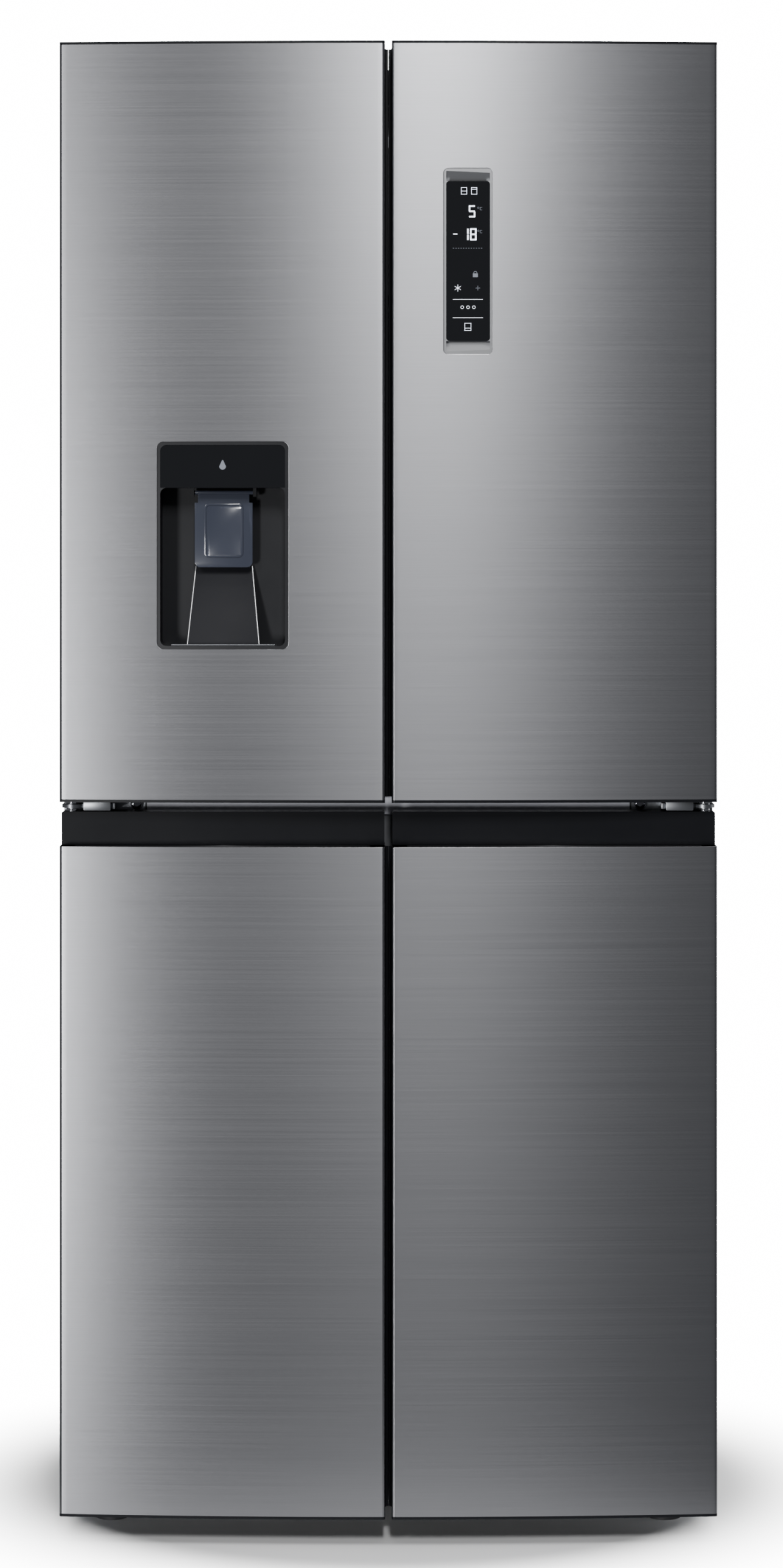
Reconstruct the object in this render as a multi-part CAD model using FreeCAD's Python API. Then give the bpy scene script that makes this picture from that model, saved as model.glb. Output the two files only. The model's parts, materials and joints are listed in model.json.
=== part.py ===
import math
import os

import FreeCAD
import Part

# French door refrigerator with a water dispenser: two tall refrigerator doors above two freezer doors.
# Millimetres. The origin is under the middle of the cabinet, +Z is up, and the doors face -Y.

V = FreeCAD.Vector
PAST = 1.0  # how far a cutter reaches past the face it opens

# Overall sizes
WIDTH = 790.0
HEIGHT = 1800.0
DEPTH = 700.0
FRONT_BOW = 17.0

# Levels and gaps between the doors
FOOT_HEIGHT = 31.0
FREEZER_DOOR_HEIGHT = 804.0
GRIP_WALL_HEIGHT = 40.0
MIDDLE_GAP = 13.0
DOOR_SLOT = 8.0
CABINET_DROP = 25.0

# Doors
DOOR_THICKNESS = 80.0
DOOR_EDGE_RADIUS = 3.5
SKIN = 0.8
CAP_PLATE = 3.0
CAP_INSERT = 4.0
LINER = 2.0
GASKET_WIDTH = 16.0
GASKET_GAP = 14.0
GASKET_SQUEEZE_GAP = 1.2
GASKET_SIDE_INSET = 20.0
GASKET_SLOT_INSET = 4.0
UPPER_GASKET_TOP_GAP = 7.0
LOWER_GASKET_FLOOR_GAP = 4.0
LOWER_GASKET_CEILING_GAP = 2.0
DYKE_WIDTH = 16.0
UPPER_DYKE_DEPTH = 45.0
LOWER_DYKE_DEPTH = 38.0
UPPER_DYKE_SLOT_INSET = 48.0
LOWER_DYKE_SLOT_INSET = 30.0
DYKE_SIDE_GAP = 4.0
DYKE_END_GAP = 13.0

# Grip ledge along the top of the freezer doors
GRIP_BLOCK = 35.0
GRIP_SETBACK = 42.0
GRIP_LIP = 6.0
GROOVE_DEPTH = 22.0
GROOVE_END = 18.0
GROOVE_WALL = 4.0
GRIP_CHAMFER = 1.5

# Hinges
PIVOT_INSET = 13.0
PIVOT_SETBACK = 50.0
PIN_RADIUS = 5.0
PIN_LENGTH = 12.0
PIN_END_GAP = 0.5
RUNNING_FIT = 0.05
WASHER_RADIUS = 6.8
BOSS_RADIUS = 10.5
BOSS_DEPTH = 14.0
HINGE_PLATE = 4.0
TOP_PLATE = 2.4
TOP_CLEARANCE = 0.4
HINGE_TIP_RADIUS = 12.0
MIDDLE_HINGE_LENGTH = 98.0
MIDDLE_PLATE_LENGTH = 60.0
HINGE_FLANGE = 3.0
FLANGE_BELOW_GAP = 6.0
FLANGE_ABOVE_GAP = 2.0
WASHER_GAP = 0.2
TOP_HINGE_SINK = 0.2
TOP_TIP_RADIUS = 10.0
TOP_RISER = 3.0
TOP_RISER_SETBACK = 17.0
TOP_FOOT_LENGTH = 70.0
TOP_FOOT_REAR = 75.0
TOP_FOOT = 3.0
COVER_LENGTH = 76.0
COVER_DEPTH = 80.0
COVER_WALL = 2.0
COVER_SIDE_GAP = 0.5
COVER_SETBACK = 3.0
COVER_DROP = 3.4
COVER_NOTCH_WIDTH = 24.0
COVER_NOTCH_DEPTH = 20.0
COVER_NOTCH_HEIGHT = 6.0
BOTTOM_HINGE_GAP = 1.5
BOTTOM_HINGE_LENGTH = 34.0
BOTTOM_FOOT_FRONT = 6.0
BOTTOM_FOOT_REAR = 30.0
SCREW_RADIUS = 7.5
SCREW_HEAD = 3.0
SCREW_END_GAP = 3.0
TOP_SCREW_RADIUS = 5.0
TOP_SCREW_OFFSETS = (28.0, 48.0)
TOP_SCREW_SETBACK = 50.0

# Cabinet walls
SHELL = 0.8
FRIDGE_WALL = 43.0
FREEZER_WALL = 63.0
TOP_WALL = 43.0
BOTTOM_WALL = 55.0
REAR_WALL = 78.0
MIDDLE_WALL_BELOW_GRIP = 27.0
MIDDLE_WALL_ABOVE_GAP = 24.0
DIVIDER = 56.0
BEAM = 4.0
BASE_PLATE = 2.0
REAR_PANEL = 1.0
MACHINE_DEPTH = 220.0
MACHINE_HEIGHT = 224.0
MACHINE_WALL = 35.0

# Feet and rollers
FOOT_INSET = 55.0
FOOT_SETBACK = 56.0
FOOT_RADIUS = 20.0
FOOT_PAD = 10.0
FOOT_STEM_RADIUS = 5.0
FOOT_STEM_ABOVE = 20.0
FOOT_STEM_FREE = 1.5
FOOT_STEM_END_GAP = 2.0
FOOT_CHAMFER = 2.0
ROLLER_RADIUS = 15.0
ROLLER_WIDTH = 24.0
ROLLER_INSET = 80.0
ROLLER_REAR = 60.0
ROLLER_AXLE = 3.0
CHEEK = 3.0
CHEEK_GAP = 0.6
CHEEK_LIFT = 9.0
CHEEK_INSET = 5.0
ROLLER_WELL_GAP = 3.0

# Inside the refrigerator
SHELVES = 3
SHELF_GLASS = 5.0
SHELF_GAP = 1.5
SHELF_RIB = 8.0
BIN_REACH = 120.0
BIN_WALL = 2.5
BIN_GAP = 1.0
SHELF_SETBACK = 15.0
SHELF_DUCT_GAP = 3.0
RIB_SETBACK = 5.0
RIB_REAR_GAP = 30.0
RIB_SINK = 0.5
SPACE_ABOVE_TOP_SHELF = 1.2
CRISPER_SETBACK = 20.0
CRISPER_REAR_GAP = 25.0
CRISPER_HEIGHT = 180.0
CRISPER_GAP = 6.0
TRAY_WALL = 2.5
TRAY_FRONT = 5.0
DUCT_THICKNESS = 22.0
DUCT_WIDTH = 300.0
DUCT_SLOTS = 7
DUCT_WALL = 3.0
DUCT_TOP_GAP = 10.0
DUCT_SLOT_X = 80.0
DUCT_SLOT_LENGTH = 50.0
DUCT_SLOT_HEIGHT = 8.0

# Bins in the refrigerator doors, as shares of the height inside the doors' rims, and the tank
# as a share of the height between the refrigerator's floor and ceiling
BIN_HEIGHT_SHARE = 0.118734
LEFT_BIN_SHARES = (0.0, 0.290237, 0.848285)
RIGHT_BIN_SHARES = (0.0, 0.329815, 0.722955)
TANK_HEIGHT_SHARE = 0.183374

# Inside the freezer
DRAWERS = 3
DRAWER_SIDE_GAP = 6.0
DRAWER_FRONT_GAP = 17.0
DRAWER_STACK_GAP = 10.0
DRAWER_REAR_GAP = 15.0

# Flip mullion that seals the slot between the refrigerator doors
MULLION_WIDTH = 64.0
MULLION_THICKNESS = 18.0
MULLION_PIVOT_X = -34.0
MULLION_FRONT_GAP = 1.0
MULLION_PIN = 3.0
MULLION_END_GAP = 2.0
MULLION_BRACKET = 4.0
MULLION_FRONT_OF_PIN = 4.0
MULLION_SHORTER = 10.0
MULLION_PIN_LENGTH = 6.0
BRACKET_ROOT = 4.0
BRACKET_REAR = 6.0

# Water dispenser in the upper left door
DISPENSER_WIDTH = 157.0
DISPENSER_HEIGHT = 248.0
DISPENSER_X = -198.5
DISPENSER_TOP_SHARE = 0.5263158
DISPENSER_CORNER = 7.5
DISPENSER_RIM = 3.6
DISPENSER_PROUD = 0.6
DISPENSER_FIT = 0.1
PANEL_HEIGHT = 55.0
PANEL_DEPTH = 12.0
PANEL_SINK = 1.0
RECESS_BACK = 60.0
HOUSING_WALL = 2.5
PADDLE_WIDTH = 70.0
PADDLE_HEIGHT = 90.0
PADDLE_THICKNESS = 3.0
PADDLE_SETBACK = 38.0
PADDLE_PIN = 2.5
PADDLE_EAR = 4.0
PADDLE_END_GAP = 0.5
PADDLE_DROP = 3.0
PADDLE_EAR_REACH = 5.0
SPOUT_RADIUS = 6.0
SPOUT_SETBACK = 18.0
SPOUT_LENGTH = 20.0
SPOUT_BORE = 16.0
SPOUT_WALL = 2.0
TANK_DEPTH = 100.0
TANK_ABOVE_PANEL = 12.0
TANK_WALL = 2.5
TANK_LID = 70.0
LID_THICKNESS = 4.0
LID_PIN = 2.0
LID_GAP = 0.5
LID_EAR = 3.0
LID_EAR_REACH = 3.0
LID_EAR_RISE = 4.0
FILL_SIDE_INSET = 6.0
FILL_FRONT_INSET = 10.0
FILL_REAR_INSET = 12.0

# Control display in the upper right door
DISPLAY_WIDTH = 57.5
DISPLAY_HEIGHT = 222.0
DISPLAY_X = 95.4
DISPLAY_TOP = 153.0
DISPLAY_CORNER = 5.0
DISPLAY_GLASS_WIDTH = 52.5
DISPLAY_GLASS_HEIGHT = 191.5
DISPLAY_GLASS_TOP = 15.0
DISPLAY_GLASS = 3.0
DISPLAY_FRAME_DEPTH = 14.0
DISPLAY_SINK = 2.0
SCOOP_DEPTH = 3.5
SCOOP_RIM = 2.0
GLASS_CORNER_LESS = 1.0
FRONT_SLACK = 5.0

# Cooling unit
COMPRESSOR_RADIUS = 72.0
COMPRESSOR_HEIGHT = 150.0
FAN_RADIUS = 62.0
FAN_BLADES = 7
FAN_SHAFT = 4.0
FAN_FRAME_X = 20.0
FAN_FRAME = 4.0
FAN_FRAME_MARGIN = 12.0
FAN_TIP_GAP = 6.0
FAN_BAR_HALF = 8.0
FAN_BAR_SINK = 2.0
FAN_MOTOR_RADIUS = 22.0
FAN_MOTOR_LENGTH = 30.0
FAN_BORE_LENGTH = 20.0
FAN_HUB_RADIUS = 18.0
FAN_HUB = (-6.0, 18.0)
FAN_SHAFT_ENDS = (10.0, 38.0)
FAN_BLADE = (-2.0, 1.0)
FAN_BLADE_ROOT = 12.0
FAN_BLADE_HALF = 14.0
FAN_BLADE_TURN_Z = 30.0
FAN_BLADE_PITCH = 28.0
COMPRESSOR_X = -190.0
COMPRESSOR_ROUND = 30.0
COMPRESSOR_BASE = (-260.0, -120.0)
COMPRESSOR_BASE_DEPTH = 100.0
COMPRESSOR_BASE_PLATE = 6.0
CONDENSER = (90.0, 260.0)
CONDENSER_DEPTH = 140.0
CONDENSER_HEIGHT = 180.0

# Machine cover and mains inlet
VENT_ROWS = 6
VENT_COLUMNS = 5
VENT_PITCH = 60.0
VENT_LENGTH = 44.0
VENT_HEIGHT = 6.0
VENT_RISE = 24.0
VENT_LOWEST = 40.0
INLET_X = 310.0
INLET_WIDTH = 40.0
INLET_LOW = 120.0
INLET_HEIGHT = 30.0
INLET_DEPTH = 10.0
LEAD_RADIUS = 5.0

# Places worked out from the sizes
HALF = WIDTH / 2
FRONT = -DEPTH / 2
REAR = DEPTH / 2
BOW_RADIUS = (HALF**2 + FRONT_BOW**2) / (2 * FRONT_BOW)
DOOR_BACK = FRONT + DOOR_THICKNESS
CABINET_FRONT = DOOR_BACK + GASKET_GAP
SLOT_EDGE = -DOOR_SLOT / 2
PIVOT_X = -HALF + PIVOT_INSET
PIVOT_Y = FRONT + PIVOT_SETBACK
LEDGE = FOOT_HEIGHT + FREEZER_DOOR_HEIGHT
GRIP_TOP = LEDGE + GRIP_WALL_HEIGHT
UPPER_BOTTOM = GRIP_TOP + MIDDLE_GAP
CABINET_TOP = HEIGHT - CABINET_DROP
GRIP_WALL_FRONT = FRONT + GRIP_SETBACK
FRIDGE_FLOOR = UPPER_BOTTOM + MIDDLE_WALL_ABOVE_GAP
FRIDGE_CEILING = CABINET_TOP - TOP_WALL - LINER
FRIDGE_SIDE = HALF - FRIDGE_WALL - LINER
LINER_BACK = REAR - REAR_WALL
FREEZER_CEILING = GRIP_TOP - MIDDLE_WALL_BELOW_GRIP
FREEZER_FLOOR = FOOT_HEIGHT + BOTTOM_WALL
FREEZER_OUTER = HALF - FREEZER_WALL - LINER
FREEZER_INNER = DIVIDER / 2
STEP_HEIGHT = FOOT_HEIGHT + MACHINE_HEIGHT + MACHINE_WALL
STEP_BACK = REAR - MACHINE_DEPTH - MACHINE_WALL
GASKET_SIDE = -HALF + GASKET_SIDE_INSET
GASKET_SLOT = SLOT_EDGE - GASKET_SLOT_INSET
FRIDGE_HEIGHT = FRIDGE_CEILING - FRIDGE_FLOOR
DISPENSER_Z = HEIGHT - DISPENSER_TOP_SHARE * (HEIGHT - UPPER_BOTTOM)
PANEL_Z = DISPENSER_Z - PANEL_HEIGHT
RECESS_Y = FRONT + RECESS_BACK
BEFORE = FRONT - FRONT_SLACK
BASE_TOP = FOOT_HEIGHT + BASE_PLATE
MACHINE_TOP = FOOT_HEIGHT + MACHINE_HEIGHT


def box(x0, x1, y0, y1, z0, z1):
    return Part.makeBox(x1 - x0, y1 - y0, z1 - z0, V(x0, y0, z0))


def post(x, y, z0, z1, radius):
    return Part.makeCylinder(radius, z1 - z0, V(x, y, z0))


def rod(x0, x1, y, z, radius):
    return Part.makeCylinder(radius, x1 - x0, V(x0, y, z), V(1, 0, 0))


def fuse(shapes):
    return shapes[0].multiFuse(shapes[1:]).removeSplitter()


def mirrored(shape):
    return shape.mirror(V(0, 0, 0), V(1, 0, 0))


def side_of(side, shape):
    """The shape as drawn for the left, or its mirror image for the right."""
    return mirrored(shape) if side == "right" else shape


def bow(x, inset=0.0):
    """How far back the bowed front lies at x, on a surface inset behind it."""
    return FRONT + BOW_RADIUS - math.sqrt((BOW_RADIUS - inset) ** 2 - x**2)


def bowed(x0, x1, inset, y_back, z0, z1, radius=0.0):
    """A solid with a bowed front and a flat back, its front upright edges rounded by radius."""
    a = V(x0, bow(x0, inset), z0)
    b = V((x0 + x1) / 2, bow((x0 + x1) / 2, inset), z0)
    c = V(x1, bow(x1, inset), z0)
    wire = Part.Wire(
        [
            Part.Arc(a, b, c).toShape(),
            Part.makeLine(c, V(x1, y_back, z0)),
            Part.makeLine(V(x1, y_back, z0), V(x0, y_back, z0)),
            Part.makeLine(V(x0, y_back, z0), a),
        ]
    )
    solid = Part.Face(wire).extrude(V(0, 0, z1 - z0))
    if radius > 0:
        edges = [e for e in solid.Edges if is_upright(e) and e.CenterOfMass.y < (y_back + FRONT) / 2]
        solid = solid.makeFillet(radius, edges)
    return solid


def is_upright(edge):
    return abs(edge.tangentAt(edge.FirstParameter).z) > 0.99


def rounded_window(x0, x1, z0, z1, radius, y0, y1):
    """A prism along Y with rounded corners."""
    solid = box(x0, x1, y0, y1, z0, z1)
    along = [e for e in solid.Edges if abs(e.tangentAt(e.FirstParameter).y) > 0.99]
    return solid.makeFillet(radius, along)


def ring(x0, x1, z0, z1, width, y0, y1):
    """A rectangular frame along Y."""
    inside = box(x0 + width, x1 - width, y0 - PAST, y1 + PAST, z0 + width, z1 - width)
    return box(x0, x1, y0, y1, z0, z1).cut(inside)


def tray(x0, x1, y0, y1, z0, z1, wall, front_wall=None):
    """A tray that is open at the top, its front towards -Y."""
    near = front_wall or wall
    inside = box(x0 + wall, x1 - wall, y0 + near, y1 - wall, z0 + wall, z1 + PAST)
    return box(x0, x1, y0, y1, z0, z1).cut(inside)


def door_body(inset, z0, z1, y_back=DOOR_BACK):
    radius = DOOR_EDGE_RADIUS - inset
    return bowed(-HALF + inset, SLOT_EDGE - inset, inset, y_back, z0, z1, radius)


def door_skin(z0, z1):
    hollow = door_body(SKIN, z0 - PAST, z1 + PAST, DOOR_BACK + PAST)
    return door_body(0.0, z0, z1).cut(hollow)


def pin_hole(z0, z1):
    return post(PIVOT_X, PIVOT_Y, z0, z1, PIN_RADIUS + RUNNING_FIT)


def bottom_cap(z):
    """End cap under a door: a visible lip, an insert inside the skin and a boss for the hinge pin."""
    lip = door_body(0.0, z, z + CAP_PLATE)
    insert = door_body(SKIN, z + CAP_PLATE, z + CAP_PLATE + CAP_INSERT)
    boss = post(PIVOT_X, PIVOT_Y, z, z + BOSS_DEPTH, BOSS_RADIUS)
    return fuse([lip, insert, boss]).cut(pin_hole(z - PAST, z + PIN_LENGTH + PIN_END_GAP))


def top_cap(z):
    """End cap on an upper door, a plate under a front lip that hides the hinge plate."""
    low = z - CAP_PLATE - CAP_INSERT
    insert = door_body(SKIN, low, z - CAP_PLATE)
    strip = door_body(0.0, z - CAP_PLATE, z).cut(
        bowed(-HALF - PAST, SLOT_EDGE + PAST, CAP_PLATE, DOOR_BACK + PAST, z - CAP_PLATE, z + PAST)
    )
    overlap = door_body(SKIN, z - CAP_PLATE, z - TOP_PLATE - TOP_CLEARANCE)
    boss = post(PIVOT_X, PIVOT_Y, z - CAP_PLATE - BOSS_DEPTH, z - CAP_PLATE, BOSS_RADIUS)
    cap = fuse([insert, strip, overlap, boss])
    return cap.cut(pin_hole(z - CAP_PLATE - PIN_LENGTH - PIN_END_GAP, z + PAST))


def grip_cap():
    """Top cap of a freezer door: a ledge with a finger groove and the wall behind it."""
    block = door_body(SKIN, LEDGE - GRIP_BLOCK, LEDGE)
    groove = bowed(
        -HALF + GROOVE_END,
        SLOT_EDGE - GROOVE_END,
        GRIP_LIP,
        GRIP_WALL_FRONT - GROOVE_WALL,
        LEDGE - GROOVE_DEPTH,
        LEDGE + PAST,
    )
    wall = box(-HALF + SKIN, SLOT_EDGE - SKIN, GRIP_WALL_FRONT, DOOR_BACK, LEDGE, GRIP_TOP)
    corner = [e for e in wall.Edges if abs(e.CenterOfMass.z - GRIP_TOP) < 0.1 and is_along_y(e)]
    wall = wall.makeChamfer(GRIP_CHAMFER, corner)
    cap = fuse([block.cut(groove), wall])
    return cap.cut(pin_hole(GRIP_TOP - PIN_LENGTH - PIN_END_GAP, GRIP_TOP + PAST))


def is_along_y(edge):
    return abs(edge.tangentAt(edge.FirstParameter).y) > 0.99


def door_foam(z0, z1, boss_levels):
    foam = door_body(SKIN, z0, z1, DOOR_BACK - LINER)
    for low, high in boss_levels:
        foam = foam.cut(post(PIVOT_X, PIVOT_Y, low, high, BOSS_RADIUS))
    return foam


def door_gasket(z0, z1):
    rear = CABINET_FRONT - GASKET_SQUEEZE_GAP
    return ring(GASKET_SIDE, GASKET_SLOT, z0, z1, GASKET_WIDTH, DOOR_BACK, rear)


def door_liner(z0, z1, dyke_x0, dyke_x1, dyke_z0, dyke_z1, depth):
    """The plastic back of a door with its raised rim."""
    plate = box(-HALF + SKIN, SLOT_EDGE - SKIN, DOOR_BACK - LINER, DOOR_BACK, z0, z1)
    rim = ring(dyke_x0, dyke_x1, dyke_z0, dyke_z1, DYKE_WIDTH, DOOR_BACK, DOOR_BACK + depth)
    return fuse([plate, rim])


def upper_liner():
    """Liner of an upper door, between the gasket and the refrigerator walls."""
    return door_liner(
        UPPER_BOTTOM + CAP_PLATE + CAP_INSERT,
        HEIGHT - CAP_PLATE - CAP_INSERT,
        -FRIDGE_SIDE + DYKE_SIDE_GAP,
        SLOT_EDGE - UPPER_DYKE_SLOT_INSET,
        FRIDGE_FLOOR + DYKE_END_GAP,
        FRIDGE_CEILING - DYKE_END_GAP,
        UPPER_DYKE_DEPTH,
    )


def lower_liner():
    return door_liner(
        FOOT_HEIGHT + CAP_PLATE + CAP_INSERT,
        LEDGE - GRIP_BLOCK,
        -FREEZER_OUTER + 2 * DYKE_SIDE_GAP,
        SLOT_EDGE - LOWER_DYKE_SLOT_INSET,
        FREEZER_FLOOR + DYKE_END_GAP,
        LEDGE - GRIP_BLOCK,
        LOWER_DYKE_DEPTH,
    )


def inside_rim():
    """Where bins and the tank may stand between the sides of an upper door's rim."""
    x0 = -FRIDGE_SIDE + DYKE_SIDE_GAP + DYKE_WIDTH + BIN_GAP
    x1 = SLOT_EDGE - UPPER_DYKE_SLOT_INSET - DYKE_WIDTH - BIN_GAP
    return x0, x1


def door_bins(shares):
    """Bins held between the sides of an upper door's rim."""
    x0, x1 = inside_rim()
    rim = DYKE_END_GAP + DYKE_WIDTH + BIN_GAP
    space = FRIDGE_HEIGHT - 2 * rim
    height = BIN_HEIGHT_SHARE * space
    lows = [FRIDGE_FLOOR + rim + share * space for share in shares]
    return [tray(x0, x1, DOOR_BACK, DOOR_BACK + BIN_REACH, z, z + height, BIN_WALL) for z in lows]


def upper_door(side, bin_shares):
    """The parts of an upper door, by name, with nothing cut into its front yet."""
    low = UPPER_BOTTOM + CAP_PLATE
    high = HEIGHT - CAP_PLATE
    bosses = [
        (low, UPPER_BOTTOM + BOSS_DEPTH),
        (high - BOSS_DEPTH, high),
    ]
    parts = {
        "skin": door_skin(low, high),
        "insulation": door_foam(low + CAP_INSERT, high - CAP_INSERT, bosses),
        "liner": upper_liner(),
        "end_caps": Part.makeCompound([bottom_cap(UPPER_BOTTOM), top_cap(HEIGHT)]),
        "gasket": door_gasket(UPPER_BOTTOM + GASKET_SLOT_INSET, CABINET_TOP - UPPER_GASKET_TOP_GAP),
        "bins": Part.makeCompound(door_bins(bin_shares)),
    }
    return {name: side_of(side, shape) for name, shape in parts.items()}


def lower_door(side):
    """The parts of a freezer door, by name."""
    low = FOOT_HEIGHT + CAP_PLATE
    gasket_low = FREEZER_FLOOR - GASKET_WIDTH - LOWER_GASKET_FLOOR_GAP
    gasket_high = FREEZER_CEILING + GASKET_WIDTH + LOWER_GASKET_CEILING_GAP
    parts = {
        "skin": door_skin(low, LEDGE),
        "insulation": door_foam(low + CAP_INSERT, LEDGE - GRIP_BLOCK, [(low, FOOT_HEIGHT + BOSS_DEPTH)]),
        "liner": lower_liner(),
        "end_caps": Part.makeCompound([bottom_cap(FOOT_HEIGHT), grip_cap()]),
        "gasket": door_gasket(gasket_low, gasket_high),
    }
    return {name: side_of(side, shape) for name, shape in parts.items()}


def dispenser_block(proud, y_back, inset=0.0):
    """The dispenser's outline as a block whose front follows the bowed door."""
    half = DISPENSER_WIDTH / 2
    prism = rounded_window(
        DISPENSER_X - half + inset,
        DISPENSER_X + half - inset,
        DISPENSER_Z - DISPENSER_HEIGHT + inset,
        DISPENSER_Z - inset,
        DISPENSER_CORNER,
        BEFORE,
        y_back,
    )
    sides = (DISPENSER_X - half - PAST, DISPENSER_X + half + PAST)
    follow = bowed(*sides, -proud, y_back + PAST, 0, HEIGHT)
    return prism.common(follow)


def dispenser_housing(axis_y, axis_z, spout_y):
    """Rim, recess and the two ears that the paddle turns in."""
    half = DISPENSER_WIDTH / 2 - DISPENSER_RIM
    sides = (DISPENSER_X - half, DISPENSER_X + half)
    panel_back = FRONT + PANEL_DEPTH
    panel_space = box(*sides, BEFORE, panel_back, PANEL_Z, DISPENSER_Z - DISPENSER_RIM)
    panel = dispenser_block(0.0, panel_back, DISPENSER_RIM).common(panel_space)
    floor = DISPENSER_Z - DISPENSER_HEIGHT + DISPENSER_RIM
    recess = rounded_window(*sides, floor, PANEL_Z, DISPENSER_CORNER, BEFORE, RECESS_Y - HOUSING_WALL)
    housing = dispenser_block(DISPENSER_PROUD, RECESS_Y).cut(recess)
    housing = housing.cut(panel_space.common(dispenser_block(PANEL_SINK, panel_back, DISPENSER_RIM)))
    outer = PADDLE_WIDTH / 2 + PADDLE_END_GAP
    low = axis_z - PADDLE_EAR_REACH
    ear_y = (axis_y - PADDLE_EAR_REACH, axis_y + PADDLE_EAR_REACH)
    ears = [
        box(start, start + PADDLE_EAR, *ear_y, low, PANEL_Z + PAST)
        for start in (DISPENSER_X - outer - PADDLE_EAR, DISPENSER_X + outer)
    ]
    reach = outer + PADDLE_EAR + PADDLE_END_GAP
    bore = rod(DISPENSER_X - reach, DISPENSER_X + reach, axis_y, axis_z, PADDLE_PIN + RUNNING_FIT)
    pipe = post(DISPENSER_X, spout_y, PANEL_Z - PAST, PANEL_Z + SPOUT_LENGTH, SPOUT_RADIUS)
    return fuse([housing] + ears).cut(bore).cut(pipe), panel


def dispenser_parts():
    """Housing with its rim and recess, black panel, spout and paddle."""
    axis_y = FRONT + PADDLE_SETBACK
    axis_z = PANEL_Z - PADDLE_PIN - PADDLE_DROP
    spout_y = FRONT + SPOUT_SETBACK
    housing, panel = dispenser_housing(axis_y, axis_z, spout_y)
    plate = rounded_window(
        DISPENSER_X - PADDLE_WIDTH / 2,
        DISPENSER_X + PADDLE_WIDTH / 2,
        axis_z - PADDLE_HEIGHT,
        axis_z,
        DISPENSER_CORNER,
        axis_y - PADDLE_THICKNESS / 2,
        axis_y + PADDLE_THICKNESS / 2,
    )
    reach = PADDLE_WIDTH / 2 + PADDLE_END_GAP + PADDLE_EAR
    pin = rod(DISPENSER_X - reach, DISPENSER_X + reach, axis_y, axis_z, PADDLE_PIN)
    tube = post(DISPENSER_X, spout_y, PANEL_Z, PANEL_Z + SPOUT_LENGTH, SPOUT_RADIUS)
    bore = post(DISPENSER_X, spout_y, PANEL_Z - PAST, PANEL_Z + SPOUT_BORE, SPOUT_RADIUS - SPOUT_WALL)
    return {
        "dispenser_housing": housing,
        "dispenser_panel": panel,
        "dispenser_spout": tube.cut(bore),
        "dispenser_paddle": fuse([plate, pin]),
    }


def tank_parts():
    """Water tank hung inside the upper left door, and its fill lid."""
    x0, x1 = inside_rim()
    z0 = DISPENSER_Z + TANK_ABOVE_PANEL
    z1 = z0 + TANK_HEIGHT_SHARE * FRIDGE_HEIGHT
    y1 = DOOR_BACK + TANK_DEPTH
    wall = TANK_WALL
    tank = box(x0, x1, DOOR_BACK, y1, z0, z1)
    tank = tank.cut(box(x0 + wall, x1 - wall, DOOR_BACK + wall, y1 - wall, z0 + wall, z1 - wall))
    middle = (x0 + x1) / 2
    half = TANK_LID / 2
    near = y1 - wall - TANK_LID
    fill_half = half - FILL_SIDE_INSET
    fill_y = (near + FILL_FRONT_INSET, y1 - FILL_REAR_INSET)
    tank = tank.cut(box(middle - fill_half, middle + fill_half, *fill_y, z1 - wall - PAST, z1 + PAST))
    lid_low = z1 + LID_GAP
    axis_z = lid_low + LID_THICKNESS / 2
    ear_y = (near - LID_EAR_REACH, near + LID_EAR_REACH)
    ears = [
        box(start, start + LID_EAR, *ear_y, z1 - PAST, axis_z + LID_EAR_RISE)
        for start in (middle - half - LID_GAP - LID_EAR, middle + half + LID_GAP)
    ]
    reach = half + LID_GAP + LID_EAR
    bore = rod(middle - reach - PAST, middle + reach + PAST, near, axis_z, LID_PIN + RUNNING_FIT)
    lid = box(middle - half, middle + half, near, y1, lid_low, lid_low + LID_THICKNESS)
    pin = rod(middle - reach, middle + reach, near, axis_z, LID_PIN)
    return {"water_tank": fuse([tank] + ears).cut(bore), "tank_lid": fuse([lid, pin])}


def flip_mullion():
    """The mullion folded back along the door, with its two pins, and the brackets it turns in."""
    pivot_y = CABINET_FRONT + MULLION_FRONT_GAP + MULLION_THICKNESS / 3
    x0 = MULLION_PIVOT_X - MULLION_THICKNESS * 2 / 3
    x1 = MULLION_PIVOT_X + MULLION_THICKNESS / 3
    y0 = pivot_y - MULLION_FRONT_OF_PIN
    z0 = FRIDGE_FLOOR + DYKE_END_GAP + MULLION_SHORTER
    z1 = FRIDGE_CEILING - DYKE_END_GAP - MULLION_SHORTER
    body = box(x0, x1, y0, y0 + MULLION_WIDTH, z0, z1)
    pins = [
        post(MULLION_PIVOT_X, pivot_y, z0 - MULLION_PIN_LENGTH, z0 + PAST, MULLION_PIN),
        post(MULLION_PIVOT_X, pivot_y, z1 - PAST, z1 + MULLION_PIN_LENGTH, MULLION_PIN),
    ]
    brackets = []
    root = SLOT_EDGE - UPPER_DYKE_SLOT_INSET - BRACKET_ROOT
    for low in (z0 - MULLION_END_GAP - MULLION_BRACKET, z1 + MULLION_END_GAP):
        high = low + MULLION_BRACKET
        plate = box(root, x1, DOOR_BACK, pivot_y + BRACKET_REAR, low, high)
        hole = post(MULLION_PIVOT_X, pivot_y, low - PAST, high + PAST, MULLION_PIN + RUNNING_FIT)
        brackets.append(plate.cut(hole))
    return fuse([body] + pins), brackets


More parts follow.
